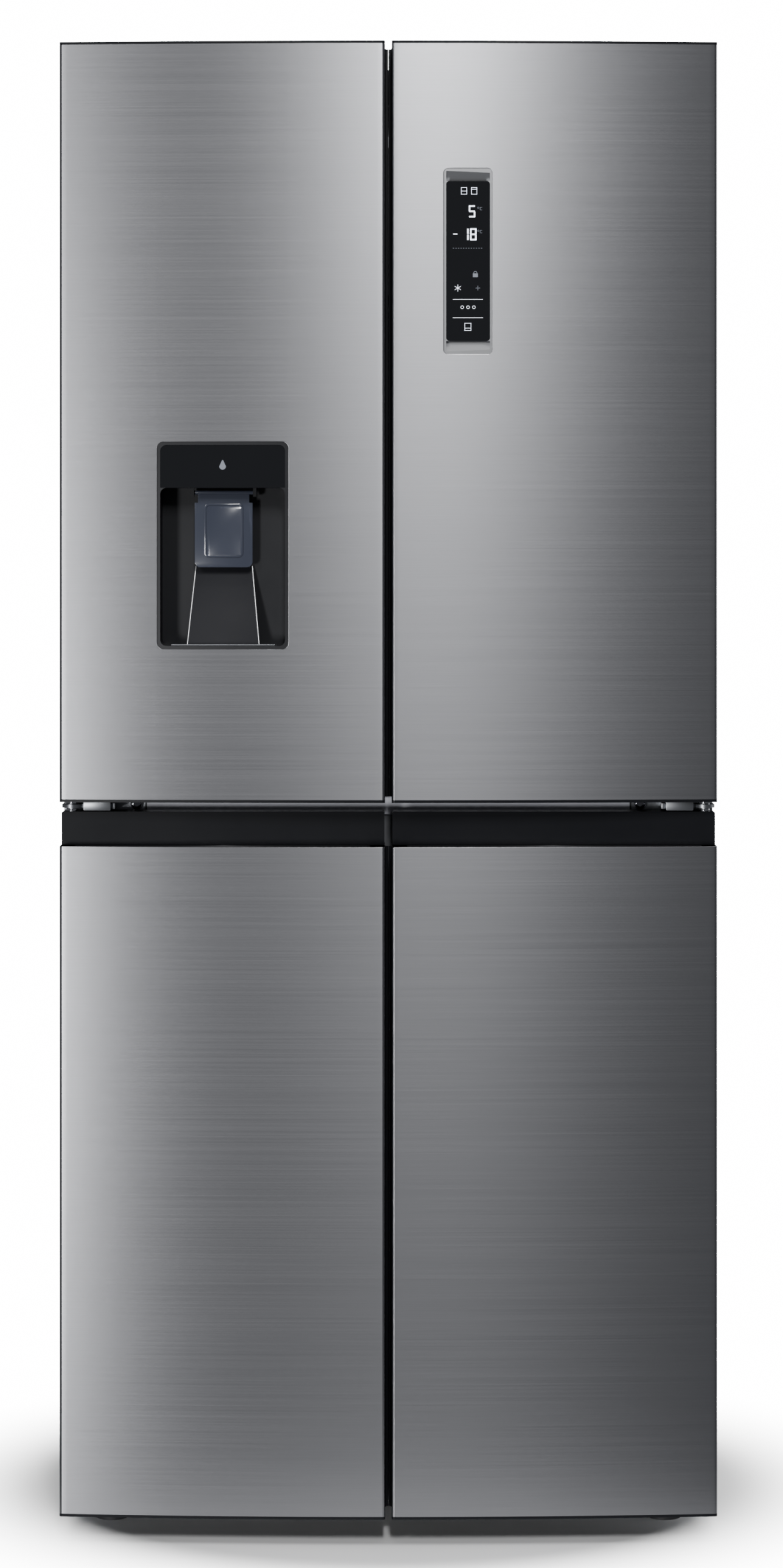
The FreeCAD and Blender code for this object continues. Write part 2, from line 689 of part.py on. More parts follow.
def display_parts():
    """Bezel with a scoop above and below its glass, and the glass."""
    z1 = HEIGHT - DISPLAY_TOP
    z0 = z1 - DISPLAY_HEIGHT
    back = FRONT + DISPLAY_FRAME_DEPTH
    x0 = DISPLAY_X - DISPLAY_WIDTH / 2
    x1 = DISPLAY_X + DISPLAY_WIDTH / 2
    outline = rounded_window(x0, x1, z0, z1, DISPLAY_CORNER, BEFORE, back)
    frame = outline.common(bowed(x0 - PAST, x1 + PAST, 0.0, back + PAST, z0 - PAST, z1 + PAST))
    glass_half = DISPLAY_GLASS_WIDTH / 2
    top = z1 - DISPLAY_GLASS_TOP
    face = bow(DISPLAY_X) + DISPLAY_SINK
    glass_back = face + DISPLAY_GLASS
    corner = DISPLAY_CORNER - GLASS_CORNER_LESS
    glass_box = (DISPLAY_X - glass_half, DISPLAY_X + glass_half, top - DISPLAY_GLASS_HEIGHT, top)
    glass = rounded_window(*glass_box, corner, face, glass_back)
    frame = frame.cut(rounded_window(*glass_box, corner, BEFORE, glass_back))
    for edge, rim in ((top, z1 - SCOOP_RIM), (top - DISPLAY_GLASS_HEIGHT, z0 + SCOOP_RIM)):
        frame = frame.cut(scoop(glass_box[0], glass_box[1], edge, rim, face + SCOOP_DEPTH))
    return outline, {"display_frame": frame, "display_glass": glass}


def scoop(x0, x1, edge, rim, deep):
    """A wedge that slopes from the bezel's rim down to the edge of the glass."""
    a = V(x0, BEFORE, edge)
    b = V(x0, deep, edge)
    c = V(x0, BEFORE, rim)
    d = V(x0, FRONT, rim)
    wire = Part.makePolygon([a, b, d, c, a])
    return Part.Face(wire).extrude(V(x1 - x0, 0, 0))


def middle_hinge():
    """Plate with a rounded tip and a flange on the cabinet front, its pin and two washers."""
    low = GRIP_TOP + (MIDDLE_GAP - HINGE_PLATE) / 2
    high = low + HINGE_PLATE
    end = PIVOT_X - HINGE_TIP_RADIUS
    front = CABINET_FRONT - HINGE_FLANGE
    flange_z = (GRIP_TOP - FLANGE_BELOW_GAP, UPPER_BOTTOM + FLANGE_ABOVE_GAP)
    plate = box(end, end + MIDDLE_PLATE_LENGTH, PIVOT_Y, CABINET_FRONT, low, high)
    tip = post(PIVOT_X, PIVOT_Y, low, high, HINGE_TIP_RADIUS)
    flange = box(end, end + MIDDLE_HINGE_LENGTH, front, CABINET_FRONT, *flange_z)
    pin = post(PIVOT_X, PIVOT_Y, GRIP_TOP - PIN_LENGTH, UPPER_BOTTOM + PIN_LENGTH, PIN_RADIUS)
    washers = [
        post(PIVOT_X, PIVOT_Y, GRIP_TOP + WASHER_GAP, low, WASHER_RADIUS),
        post(PIVOT_X, PIVOT_Y, high, UPPER_BOTTOM - WASHER_GAP, WASHER_RADIUS),
    ]
    return fuse([plate, tip, flange, pin] + washers)


def top_hinge():
    """Plate over the top cap, its riser and foot on the cabinet top, and its pin."""
    high = HEIGHT - TOP_HINGE_SINK
    low = high - TOP_PLATE + TOP_HINGE_SINK
    end = PIVOT_X - TOP_TIP_RADIUS
    width = 2 * TOP_TIP_RADIUS
    front = CABINET_FRONT + TOP_RISER_SETBACK
    plate = box(end, end + width, PIVOT_Y, front + TOP_RISER, low, high)
    riser = box(end, end + width, front, front + TOP_RISER, CABINET_TOP, high)
    foot_y = (front, CABINET_FRONT + TOP_FOOT_REAR)
    foot = box(end, end + TOP_FOOT_LENGTH, *foot_y, CABINET_TOP, CABINET_TOP + TOP_FOOT)
    tip = post(PIVOT_X, PIVOT_Y, low, high, TOP_TIP_RADIUS)
    pin = post(PIVOT_X, PIVOT_Y, low - PIN_LENGTH, high, PIN_RADIUS)
    return fuse([plate, riser, foot, tip, pin])


def hinge_cover():
    """Cap over the top hinge's foot, open in front, with a notch that the hinge plate passes through."""
    x0 = PIVOT_X - HINGE_TIP_RADIUS - COVER_SIDE_GAP
    x1 = x0 + COVER_LENGTH
    y0 = CABINET_FRONT + COVER_SETBACK
    y1 = y0 + COVER_DEPTH
    high = HEIGHT - COVER_DROP
    wall = COVER_WALL
    hollow = box(x0 + wall, x1 - wall, y0 - PAST, y1 - wall, CABINET_TOP - PAST, high - wall)
    notch_z = (HEIGHT - COVER_NOTCH_HEIGHT, HEIGHT)
    notch = box(x0, x0 + COVER_NOTCH_WIDTH, y0 - PAST, y0 + COVER_NOTCH_DEPTH, *notch_z)
    return box(x0, x1, y0, y1, CABINET_TOP, high).cut(hollow).cut(notch)


def bottom_hinge():
    """Plate under the freezer door, fixed beneath the base plate, and its pin."""
    high = FOOT_HEIGHT - BOTTOM_HINGE_GAP
    low = high - HINGE_PLATE
    x0 = PIVOT_X - HINGE_TIP_RADIUS
    x1 = x0 + BOTTOM_HINGE_LENGTH
    rear = CABINET_FRONT + BOTTOM_FOOT_REAR
    arm = box(x0, x1, PIVOT_Y, rear, low, high)
    foot = box(x0, x1, CABINET_FRONT + BOTTOM_FOOT_FRONT, rear, low, FOOT_HEIGHT)
    tip = post(PIVOT_X, PIVOT_Y, low, high, HINGE_TIP_RADIUS)
    pin = post(PIVOT_X, PIVOT_Y, low, FOOT_HEIGHT + PIN_LENGTH, PIN_RADIUS)
    return fuse([arm, foot, tip, pin])


def hinge_screws():
    """Round-headed screws in the middle hinges' flanges and the top hinges' feet."""
    x = PIVOT_X - HINGE_TIP_RADIUS + MIDDLE_HINGE_LENGTH - SCREW_RADIUS - SCREW_END_GAP
    z = (GRIP_TOP + UPPER_BOTTOM) / 2
    face = CABINET_FRONT - HINGE_FLANGE
    heads = [Part.makeCylinder(SCREW_RADIUS, SCREW_HEAD, V(x, face, z), V(0, -1, 0))]
    low = CABINET_TOP + TOP_FOOT
    y = CABINET_FRONT + TOP_SCREW_SETBACK
    for offset in TOP_SCREW_OFFSETS:
        heads.append(post(PIVOT_X + offset, y, low, low + SCREW_HEAD, TOP_SCREW_RADIUS))
    return heads + [mirrored(screw) for screw in heads]


def pair(shape):
    return Part.makeCompound([shape, mirrored(shape)])


def fridge_space(grow):
    """The refrigerator's inner space, grown by the liner's thickness where asked."""
    side = FRIDGE_SIDE + grow
    depth = (CABINET_FRONT - PAST, LINER_BACK + grow)
    return box(-side, side, *depth, FRIDGE_FLOOR - grow, FRIDGE_CEILING + grow)


def freezer_space(grow):
    """The left freezer's inner space, with the step over the machine compartment."""
    x0 = -FREEZER_OUTER - grow
    x1 = -FREEZER_INNER + grow
    front = CABINET_FRONT - PAST
    upper = box(x0, x1, front, LINER_BACK + grow, STEP_HEIGHT - grow, FREEZER_CEILING + grow)
    lower = box(x0, x1, front, STEP_BACK + grow, FREEZER_FLOOR - grow, STEP_HEIGHT)
    return fuse([upper, lower])


def shelf_levels():
    low = FRIDGE_FLOOR + CRISPER_HEIGHT + 3 * CRISPER_GAP
    step = (FRIDGE_CEILING - low) / (SHELVES - 1 + SPACE_ABOVE_TOP_SHELF)
    return [low + n * step for n in range(SHELVES)]


def front_open(shape):
    """Cut off what stands in front of the cabinet's front plane."""
    return shape.cut(box(-WIDTH, WIDTH, FRONT, CABINET_FRONT, 0, HEIGHT))


def fridge_liner():
    liner = front_open(fridge_space(LINER).cut(fridge_space(0.0)))
    ribs = []
    for z in shelf_levels():
        for x0 in (-FRIDGE_SIDE - RIB_SINK, FRIDGE_SIDE - SHELF_RIB):
            x1 = x0 + SHELF_RIB + RIB_SINK
            rib_y = (shelf_front() + RIB_SETBACK, LINER_BACK - RIB_REAR_GAP)
            ribs.append(box(x0, x1, *rib_y, z - SHELF_RIB, z))
    return fuse([liner] + ribs)


def shelf_front():
    return DOOR_BACK + BIN_REACH + SHELF_SETBACK


def shelf_back():
    return LINER_BACK - DUCT_THICKNESS - SHELF_DUCT_GAP


def glass_shelves():
    side = FRIDGE_SIDE - SHELF_GAP
    return [box(-side, side, shelf_front(), shelf_back(), z, z + SHELF_GLASS) for z in shelf_levels()]


def air_duct():
    """Rear duct cover with two columns of outlet slots."""
    z0 = FRIDGE_FLOOR + CRISPER_HEIGHT + 2 * CRISPER_GAP
    z1 = FRIDGE_CEILING - DUCT_TOP_GAP
    y0 = LINER_BACK - DUCT_THICKNESS
    half = DUCT_WIDTH / 2
    inner = half - DUCT_WALL
    cover = box(-half, half, y0, LINER_BACK, z0, z1)
    cover = cover.cut(box(-inner, inner, y0 + DUCT_WALL, LINER_BACK + PAST, z0 + DUCT_WALL, z1 - DUCT_WALL))
    step = (z1 - z0) / (DUCT_SLOTS + 1)
    slot_y = (y0 - PAST, y0 + DUCT_WALL + PAST)
    for n in range(1, DUCT_SLOTS + 1):
        low = z0 + n * step - DUCT_SLOT_HEIGHT / 2
        for x in (-DUCT_SLOT_X, DUCT_SLOT_X):
            x0 = x - DUCT_SLOT_LENGTH / 2
            cover = cover.cut(box(x0, x0 + DUCT_SLOT_LENGTH, *slot_y, low, low + DUCT_SLOT_HEIGHT))
    return cover


def crisper():
    z0 = FRIDGE_FLOOR + CRISPER_GAP
    y0 = DOOR_BACK + BIN_REACH + CRISPER_SETBACK
    y1 = LINER_BACK - CRISPER_REAR_GAP
    x0 = -FRIDGE_SIDE + CRISPER_GAP
    return tray(x0, -CRISPER_GAP, y0, y1, z0, z0 + CRISPER_HEIGHT, TRAY_WALL, TRAY_FRONT)


def drawer_levels():
    """Lowest and highest z of each freezer drawer, from the bottom."""
    pitch = (FREEZER_CEILING - FREEZER_FLOOR) / DRAWERS
    return [
        (FREEZER_FLOOR + n * pitch + DRAWER_STACK_GAP / 2, FREEZER_FLOOR + (n + 1) * pitch - DRAWER_STACK_GAP)
        for n in range(DRAWERS)
    ]


def freezer_drawer(level):
    z0, z1 = drawer_levels()[level]
    back = STEP_BACK if z0 < STEP_HEIGHT + DRAWER_STACK_GAP else LINER_BACK
    y0 = DOOR_BACK + LOWER_DYKE_DEPTH + DRAWER_FRONT_GAP
    x0 = -FREEZER_OUTER + DRAWER_SIDE_GAP
    x1 = -FREEZER_INNER - DRAWER_SIDE_GAP
    return tray(x0, x1, y0, back - DRAWER_REAR_GAP, z0, z1, TRAY_WALL, TRAY_FRONT)


def cabinet_shell():
    """Steel sheet over the top and sides, folded over the front edge."""
    shell = box(-HALF, HALF, CABINET_FRONT, REAR - REAR_PANEL, FOOT_HEIGHT, CABINET_TOP)
    inner = HALF - SHELL
    hollow = box(-inner, inner, CABINET_FRONT + SHELL, REAR, FOOT_HEIGHT - PAST, CABINET_TOP - SHELL)
    side = FRIDGE_SIDE + LINER
    window = box(-side, side, CABINET_FRONT - PAST, REAR, FOOT_HEIGHT - PAST, FRIDGE_CEILING + LINER)
    return shell.cut(hollow).cut(window)


def front_beams():
    """Steel strips over the front edges of the walls between and under the compartments."""
    side = FRIDGE_SIDE + LINER
    depth = (CABINET_FRONT, CABINET_FRONT + BEAM)
    floor = FREEZER_FLOOR - LINER
    ceiling = FREEZER_CEILING + LINER
    divider = FREEZER_INNER - LINER
    middle = box(-side, side, *depth, ceiling, FRIDGE_FLOOR - LINER)
    bottom = box(-side, side, *depth, BASE_TOP, floor)
    upright = box(-divider, divider, *depth, floor, ceiling)
    wing = box(-side, -FREEZER_OUTER - LINER, *depth, floor, ceiling)
    return fuse([middle, bottom, upright, wing, mirrored(wing)])


def foot_place():
    return -HALF + FOOT_INSET, CABINET_FRONT + FOOT_SETBACK


def cabinet_insulation(beams):
    """The foam between the shell and the liners, round the machine compartment and the feet's stems."""
    inner = HALF - SHELL
    foam = box(-inner, inner, CABINET_FRONT + SHELL, REAR - REAR_PANEL, BASE_TOP, CABINET_TOP - SHELL)
    room = box(-HALF, HALF, REAR - MACHINE_DEPTH, REAR + PAST, BASE_TOP - PAST, MACHINE_TOP)
    foam = foam.cut(room).cut(fridge_space(LINER)).cut(freezer_space(LINER))
    foam = foam.cut(mirrored(freezer_space(LINER))).cut(beams)
    x, y = foot_place()
    stem_top = BASE_TOP + FOOT_STEM_ABOVE + FOOT_STEM_END_GAP
    stem = post(x, y, BASE_TOP - PAST, stem_top, FOOT_STEM_RADIUS + FOOT_STEM_FREE)
    return insulation_panels(foam.cut(stem).cut(mirrored(stem)))


def insulation_panels(foam):
    """The insulation as flat panels that meet face to face round each compartment."""
    fridge_x = FRIDGE_SIDE + LINER
    freezer_x = FREEZER_OUTER + LINER
    divider_x = FREEZER_INNER - LINER
    step_y = STEP_BACK + LINER
    ceiling = FRIDGE_CEILING + LINER
    middle_high = FRIDGE_FLOOR - LINER
    middle_low = FREEZER_CEILING + LINER
    step_z = STEP_HEIGHT - LINER
    floor = FREEZER_FLOOR - LINER
    freezer_columns = [(-HALF, -freezer_x), (-divider_x, divider_x), (freezer_x, HALF)]
    bands = [
        (ceiling, CABINET_TOP, [], REAR),
        (middle_high, ceiling, [(-HALF, -fridge_x), (fridge_x, HALF)], LINER_BACK + LINER),
        (middle_low, middle_high, [], REAR),
        (step_z, middle_low, freezer_columns, LINER_BACK + LINER),
        (MACHINE_TOP, step_z, freezer_columns, step_y),
        (floor, MACHINE_TOP, freezer_columns, step_y),
        (FOOT_HEIGHT, floor, [], REAR),
    ]
    panels = []
    for low, high, columns, back in bands:
        if columns:
            cells = [box(x0, x1, -DEPTH, back, low, high) for x0, x1 in columns]
            cells.append(box(-HALF, HALF, back, REAR, low, high))
        else:
            cells = [box(-HALF, HALF, -DEPTH, REAR, low, high)]
        for cell in cells:
            panels += foam.common(cell).Solids
    return Part.makeCompound(panels)


def base_plate():
    """Steel floor under the whole cabinet, with foot holes and the rollers' cheeks."""
    low = FOOT_HEIGHT
    inner = HALF - SHELL
    plate = box(-inner, inner, CABINET_FRONT + SHELL, REAR - REAR_PANEL, low, BASE_TOP)
    x, y = foot_place()
    hole = post(x, y, low - PAST, BASE_TOP + PAST, FOOT_STEM_RADIUS + RUNNING_FIT)
    plate = plate.cut(hole).cut(mirrored(hole))
    well = box(*roller_span(CHEEK + CHEEK_GAP), *roller_depth(ROLLER_WELL_GAP), low - PAST, BASE_TOP + PAST)
    plate = plate.cut(well).cut(mirrored(well))
    cheeks = []
    x0, x1 = roller_span(CHEEK_GAP)
    for start in (x0 - CHEEK, x1):
        cheek = box(start, start + CHEEK, *roller_depth(-CHEEK_INSET), CHEEK_LIFT, BASE_TOP)
        cheeks += [cheek, mirrored(cheek)]
    plate = fuse([plate] + cheeks)
    return plate.cut(rod(-HALF, HALF, REAR - ROLLER_REAR, ROLLER_RADIUS, ROLLER_AXLE + RUNNING_FIT))


def base_plate():
    """Steel floor under the whole cabinet, with foot holes and the rollers' cheeks."""
    low = FOOT_HEIGHT
    plate = box(-HALF + SHELL, HALF - SHELL, CABINET_FRONT + SHELL, REAR - REAR_PANEL, low, low + BASE_PLATE)
    x, y = foot_place()
    hole = post(x, y, low - 1, low + BASE_PLATE + 1, FOOT_STEM_RADIUS + RUNNING_FIT)
    plate = plate.cut(hole).cut(mirrored(hole))
    well = box(*roller_span(CHEEK + CHEEK_GAP), *roller_depth(3.0), low - 1, low + BASE_PLATE + 1)
    plate = plate.cut(well).cut(mirrored(well))
    cheeks = []
    x0, x1 = roller_span(CHEEK_GAP)
    for start in (x0 - CHEEK, x1):
        cheek = box(start, start + CHEEK, *roller_depth(-5.0), ROLLER_RADIUS - 6, low + BASE_PLATE)
        cheeks += [cheek, mirrored(cheek)]
    plate = fuse([plate] + cheeks)
    reach = HALF
    return plate.cut(rod(-reach, reach, REAR - ROLLER_REAR, ROLLER_RADIUS, ROLLER_AXLE + RUNNING_FIT))


def roller_span(gap):
    middle = -HALF + ROLLER_INSET
    half = ROLLER_WIDTH / 2 + gap
    return middle - half, middle + half


def roller_depth(gap):
    middle = REAR - ROLLER_REAR
    half = ROLLER_RADIUS + gap
    return middle - half, middle + half


def rear_roller():
    x0, x1 = roller_span(0.0)
    y = REAR - ROLLER_REAR
    wheel = rod(x0, x1, y, ROLLER_RADIUS, ROLLER_RADIUS)
    reach = CHEEK + CHEEK_GAP
    return fuse([wheel, rod(x0 - reach, x1 + reach, y, ROLLER_RADIUS, ROLLER_AXLE)])


def front_foot():
    x, y = foot_place()
    pad = post(x, y, 0, FOOT_PAD, FOOT_RADIUS)
    pad = pad.makeChamfer(FOOT_CHAMFER, [e for e in pad.Edges if abs(e.CenterOfMass.z - FOOT_PAD) < 0.1])
    return fuse([pad, post(x, y, FOOT_PAD - PAST, BASE_TOP + FOOT_STEM_ABOVE, FOOT_STEM_RADIUS)])


def fan_place():
    return REAR - MACHINE_DEPTH / 2, BASE_TOP + MACHINE_HEIGHT / 2


def cooling_unit():
    """Compressor, condenser block and the fan's frame with its motor."""
    y, z = fan_place()
    can_low = BASE_TOP + COMPRESSOR_BASE_PLATE
    can_high = can_low + COMPRESSOR_HEIGHT
    half = COMPRESSOR_BASE_DEPTH / 2
    base = box(*COMPRESSOR_BASE, y - half, y + half, BASE_TOP, can_low)
    can = post(COMPRESSOR_X, y, can_low, can_high, COMPRESSOR_RADIUS)
    can = can.makeFillet(COMPRESSOR_ROUND, [e for e in can.Edges if abs(e.CenterOfMass.z - can_high) < 0.1])
    half = CONDENSER_DEPTH / 2
    condenser = box(*CONDENSER, y - half, y + half, BASE_TOP, BASE_TOP + CONDENSER_HEIGHT)
    return Part.makeCompound([fuse([base, can]), condenser, fan_frame(y, z)])


def fan_frame(y, z):
    """Square frame with a round opening, and a bar across it that carries the motor."""
    x0 = FAN_FRAME_X
    x1 = x0 + FAN_FRAME
    half = FAN_RADIUS + FAN_FRAME_MARGIN
    opening = FAN_RADIUS + FAN_TIP_GAP
    bar = opening + FAN_BAR_SINK
    frame = box(x0, x1, y - half, y + half, BASE_TOP, z + half)
    frame = frame.cut(rod(x0 - PAST, x1 + PAST, y, z, opening))
    bars = box(x0, x1, y - bar, y + bar, z - FAN_BAR_HALF, z + FAN_BAR_HALF)
    motor = rod(x0, x0 + FAN_MOTOR_LENGTH, y, z, FAN_MOTOR_RADIUS)
    bore = rod(x0 - PAST, x0 + FAN_BORE_LENGTH, y, z, FAN_SHAFT + RUNNING_FIT)
    return fuse([frame, bars, motor]).cut(bore)


def condenser_fan():
    """Hub, shaft and blades of the fan, in front of its frame."""
    y, z = fan_place()
    hub = rod(*FAN_HUB, y, z, FAN_HUB_RADIUS)
    shaft = rod(*FAN_SHAFT_ENDS, y, z, FAN_SHAFT)
    blades = []
    for n in range(FAN_BLADES):
        blade = box(*FAN_BLADE, y - FAN_BLADE_HALF, y + FAN_BLADE_HALF, z + FAN_BLADE_ROOT, z + FAN_RADIUS)
        blade.rotate(V(0, y, z + FAN_BLADE_TURN_Z), V(0, 0, 1), FAN_BLADE_PITCH)
        blade.rotate(V(0, y, z), V(1, 0, 0), n * 360 / FAN_BLADES)
        blades.append(blade)
    return fuse([hub, shaft] + blades)


def inlet_block(past):
    x0 = INLET_X - INLET_WIDTH / 2
    low = BASE_TOP + INLET_LOW
    return box(x0, x0 + INLET_WIDTH, REAR - INLET_DEPTH, REAR + past, low, low + INLET_HEIGHT)


def machine_cover():
    """Slotted cover over the machine compartment."""
    cover = box(-HALF + SHELL, HALF - SHELL, REAR - REAR_PANEL, REAR, BASE_TOP, MACHINE_TOP)
    for row in range(VENT_ROWS):
        z = BASE_TOP + VENT_LOWEST + row * VENT_RISE
        for column in range(-VENT_COLUMNS, VENT_COLUMNS + 1):
            x = column * VENT_PITCH - VENT_LENGTH / 2
            vent = box(x, x + VENT_LENGTH, REAR - REAR_PANEL - PAST, REAR + PAST, z, z + VENT_HEIGHT)
            cover = cover.cut(vent)
    return cover.cut(inlet_block(PAST))


def power_inlet():
    """Gland in the machine cover where the mains lead enters."""
    start = V(INLET_X, REAR - INLET_DEPTH - PAST, BASE_TOP + INLET_LOW + INLET_HEIGHT / 2)
    hole = Part.makeCylinder(LEAD_RADIUS, INLET_DEPTH + 2 * PAST, start, V(0, 1, 0))
    return inlet_block(0.0).cut(hole)


def rear_panel():
    inner = HALF - SHELL
    return box(-inner, inner, REAR - REAR_PANEL, REAR, MACHINE_TOP, CABINET_TOP)


def cabinet_parts():
    beams = front_beams()
    freezer_liner = front_open(freezer_space(LINER).cut(freezer_space(0.0)))
    return {
        "cabinet_shell": cabinet_shell(),
        "front_beams": beams,
        "cabinet_insulation": cabinet_insulation(beams),
        "fridge_liner": fridge_liner(),
        "freezer_liners": pair(freezer_liner),
        "rear_panel": rear_panel(),
        "base_plate": base_plate(),
        "machine_cover": machine_cover(),
        "power_inlet": power_inlet(),
        "cooling_unit": cooling_unit(),
        "condenser_fan": condenser_fan(),
        "air_duct_cover": air_duct(),
        "glass_shelves": Part.makeCompound(glass_shelves()),
        "top_hinges": pair(top_hinge()),
        "middle_hinges": pair(middle_hinge()),
        "bottom_hinges": pair(bottom_hinge()),
        "hinge_covers": pair(hinge_cover()),
        "hinge_screws": Part.makeCompound(hinge_screws()),
        "rear_rollers": pair(rear_roller()),
    }


def moving_parts():
    """Drawers and feet, once for each side."""
    parts = {}
    levels = ("bottom", "middle", "top")
    for side in ("left", "right"):
        parts["crisper_" + side] = side_of(side, crisper())
        parts["front_foot_" + side] = side_of(side, front_foot())
        for n, level in enumerate(levels):
            parts["freezer_drawer_" + side + "_" + level] = side_of(side, freezer_drawer(n))
    return parts


def door_parts():
    left = upper_door("left", LEFT_BIN_SHARES)
    right = upper_door("right", RIGHT_BIN_SHARES)
    cutter = dispenser_block(DISPENSER_FIT, RECESS_Y)
    mullion, brackets = flip_mullion()
    left["skin"] = left["skin"].cut(cutter)
    left["insulation"] = left["insulation"].cut(cutter)
    left["liner"] = fuse([left["liner"]] + brackets)
    outline, display = display_parts()
    right["skin"] = right["skin"].cut(outline)
    right["insulation"] = right["insulation"].cut(outline)
    parts = {"upper_left_" + name: shape for name, shape in left.items()}
    parts.update({"upper_right_" + name: shape for name, shape in right.items()})
    for side in ("left", "right"):
        for name, shape in lower_door(side).items():
            parts["lower_" + side + "_" + name] = shape
    parts["flip_mullion"] = mullion
    parts.update(dispenser_parts())
    parts.update(tank_parts())
    parts.update(display)
    return parts


def main():
    os.makedirs("parts", exist_ok=True)
    parts = {**cabinet_parts(), **moving_parts(), **door_parts()}
    for name, shape in parts.items():
        if not shape.isValid():
            print("not valid:", name)
        shape.exportStep("parts/" + name + ".step")
    print(len(parts), "parts")


main()
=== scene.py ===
import json
import math
from contextlib import contextmanager

import bmesh
import bpy
from mathutils import Matrix, Vector


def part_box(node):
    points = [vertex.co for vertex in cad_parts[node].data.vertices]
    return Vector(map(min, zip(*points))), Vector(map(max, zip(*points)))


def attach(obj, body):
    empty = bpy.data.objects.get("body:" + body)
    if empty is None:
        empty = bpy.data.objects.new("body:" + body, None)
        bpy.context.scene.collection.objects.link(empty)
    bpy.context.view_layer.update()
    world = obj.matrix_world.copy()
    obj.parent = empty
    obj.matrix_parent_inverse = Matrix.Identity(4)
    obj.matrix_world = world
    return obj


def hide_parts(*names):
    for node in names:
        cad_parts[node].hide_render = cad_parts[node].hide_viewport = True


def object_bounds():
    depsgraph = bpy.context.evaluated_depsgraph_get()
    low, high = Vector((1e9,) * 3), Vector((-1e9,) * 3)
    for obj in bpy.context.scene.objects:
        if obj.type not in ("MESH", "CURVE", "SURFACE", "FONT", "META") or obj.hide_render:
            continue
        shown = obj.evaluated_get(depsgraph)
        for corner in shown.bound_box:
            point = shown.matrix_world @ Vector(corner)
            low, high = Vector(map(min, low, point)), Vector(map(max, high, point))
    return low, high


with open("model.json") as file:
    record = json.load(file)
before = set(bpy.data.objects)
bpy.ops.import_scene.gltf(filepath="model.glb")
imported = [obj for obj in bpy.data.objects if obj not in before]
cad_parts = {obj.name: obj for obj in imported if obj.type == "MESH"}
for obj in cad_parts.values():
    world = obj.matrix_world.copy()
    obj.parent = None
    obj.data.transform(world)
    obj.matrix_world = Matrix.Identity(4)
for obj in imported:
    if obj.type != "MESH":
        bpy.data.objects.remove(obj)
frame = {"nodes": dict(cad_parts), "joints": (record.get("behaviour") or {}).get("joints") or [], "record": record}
CAD_BOX = [list(corner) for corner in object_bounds()]

bl_info = {
    "name": "French door refrigerator",
    "version": (1, 0, 0),
    "blender": (4, 5, 0),
    "location": "View3D > Sidebar > Refrigerator",
    "description": "Doors, dispenser, display, interior and finishes of a four-door refrigerator",
    "category": "Object",
}

MM = 0.001
SMOOTH_ANGLE = math.radians(35)
SOFTEN_ANGLE = math.radians(50)
LARGE_FACE_WEIGHT = 80
ALONG_SHARE = 0.99  # of an edge's length that has to run along an axis
FINE_SEGMENTS = 8  # around the corner of a wide radius


def length(name, description, default):
    return bpy.props.FloatProperty(name=name, description=description, default=default, unit="LENGTH")


def colour(name, description, default):
    return bpy.props.FloatVectorProperty(
        name=name, description=description, subtype="COLOR", size=3, default=default
    )


class FridgeSizes(bpy.types.PropertyGroup):
    """Sizes of the pieces that stand on the frame."""

    front_bow: length("Front bow", "How far the middle of the front stands out", 0.017)
    door_edge: length("Door edge", "Radius of a door's upright edges", 0.0035)
    fold_edge: length("Fold edge", "Radius of a door's top and bottom folds", 0.0006)
    digit_height: length("Digit height", "Height of the temperature digits", 0.0145)
    shelf_trim: length("Shelf trim", "Height of the trim on a shelf's front", 0.012)


class FridgeColours(bpy.types.PropertyGroup):
    """Colours that a user would change."""

    steel: colour("Steel", "Door steel", (0.27, 0.272, 0.285))
    cabinet: colour("Cabinet", "Cabinet paint", (0.105, 0.108, 0.118))
    black: colour("Black", "Black plastic", (0.008, 0.0085, 0.0105))
    light: colour("Symbols", "Lit symbols", (0.85, 0.9, 1.0))


def sizes():
    return bpy.context.scene.fridge_sizes


def colours():
    return bpy.context.scene.fridge_colours


# ---- modelling


def clear_selection():
    if bpy.context.object and bpy.context.object.mode != "OBJECT":
        bpy.ops.object.mode_set(mode="OBJECT")
    bpy.ops.object.select_all(action="DESELECT")


def only(obj):
    clear_selection()
    obj.select_set(True)
    bpy.context.view_layer.objects.active = obj


@contextmanager
def editing(obj):
    """Edit mode on one piece."""
    only(obj)
    bpy.ops.object.mode_set(mode="EDIT")
    yield
    bpy.ops.object.mode_set(mode="OBJECT")


def pick(obj, kind, test):
    """In edit mode, select the edges or faces that pass the test and nothing else."""
    bpy.ops.mesh.select_mode(type=kind)
    bpy.ops.mesh.select_all(action="DESELECT")
    mesh = bmesh.from_edit_mesh(obj.data)
    for item in mesh.edges if kind == "EDGE" else mesh.faces:
        item.select = test(item)
    bmesh.update_edit_mesh(obj.data)


def bevel_edges(obj, test, radius, segments):
    """Round the edges of a piece that pass the test."""
    with editing(obj):
        pick(obj, "EDGE", test)
        bpy.ops.mesh.bevel(offset=radius, segments=segments, affect="EDGES")


def face_outwards():
    """In edit mode, turn every face outwards."""
    bpy.ops.mesh.select_all(action="SELECT")
    bpy.ops.mesh.normals_make_consistent(inside=False)


def along(edge, axis):
    run = edge.verts[1].co - edge.verts[0].co
    return abs(run[axis]) > ALONG_SHARE * run.length


def settle(obj, name):
    """Bake the object's place into its mesh, so that it sits at the origin."""
    only(obj)
    bpy.ops.object.transform_apply(location=True, rotation=True, scale=True)
    obj.name = name
    obj.data.name = name
    return obj


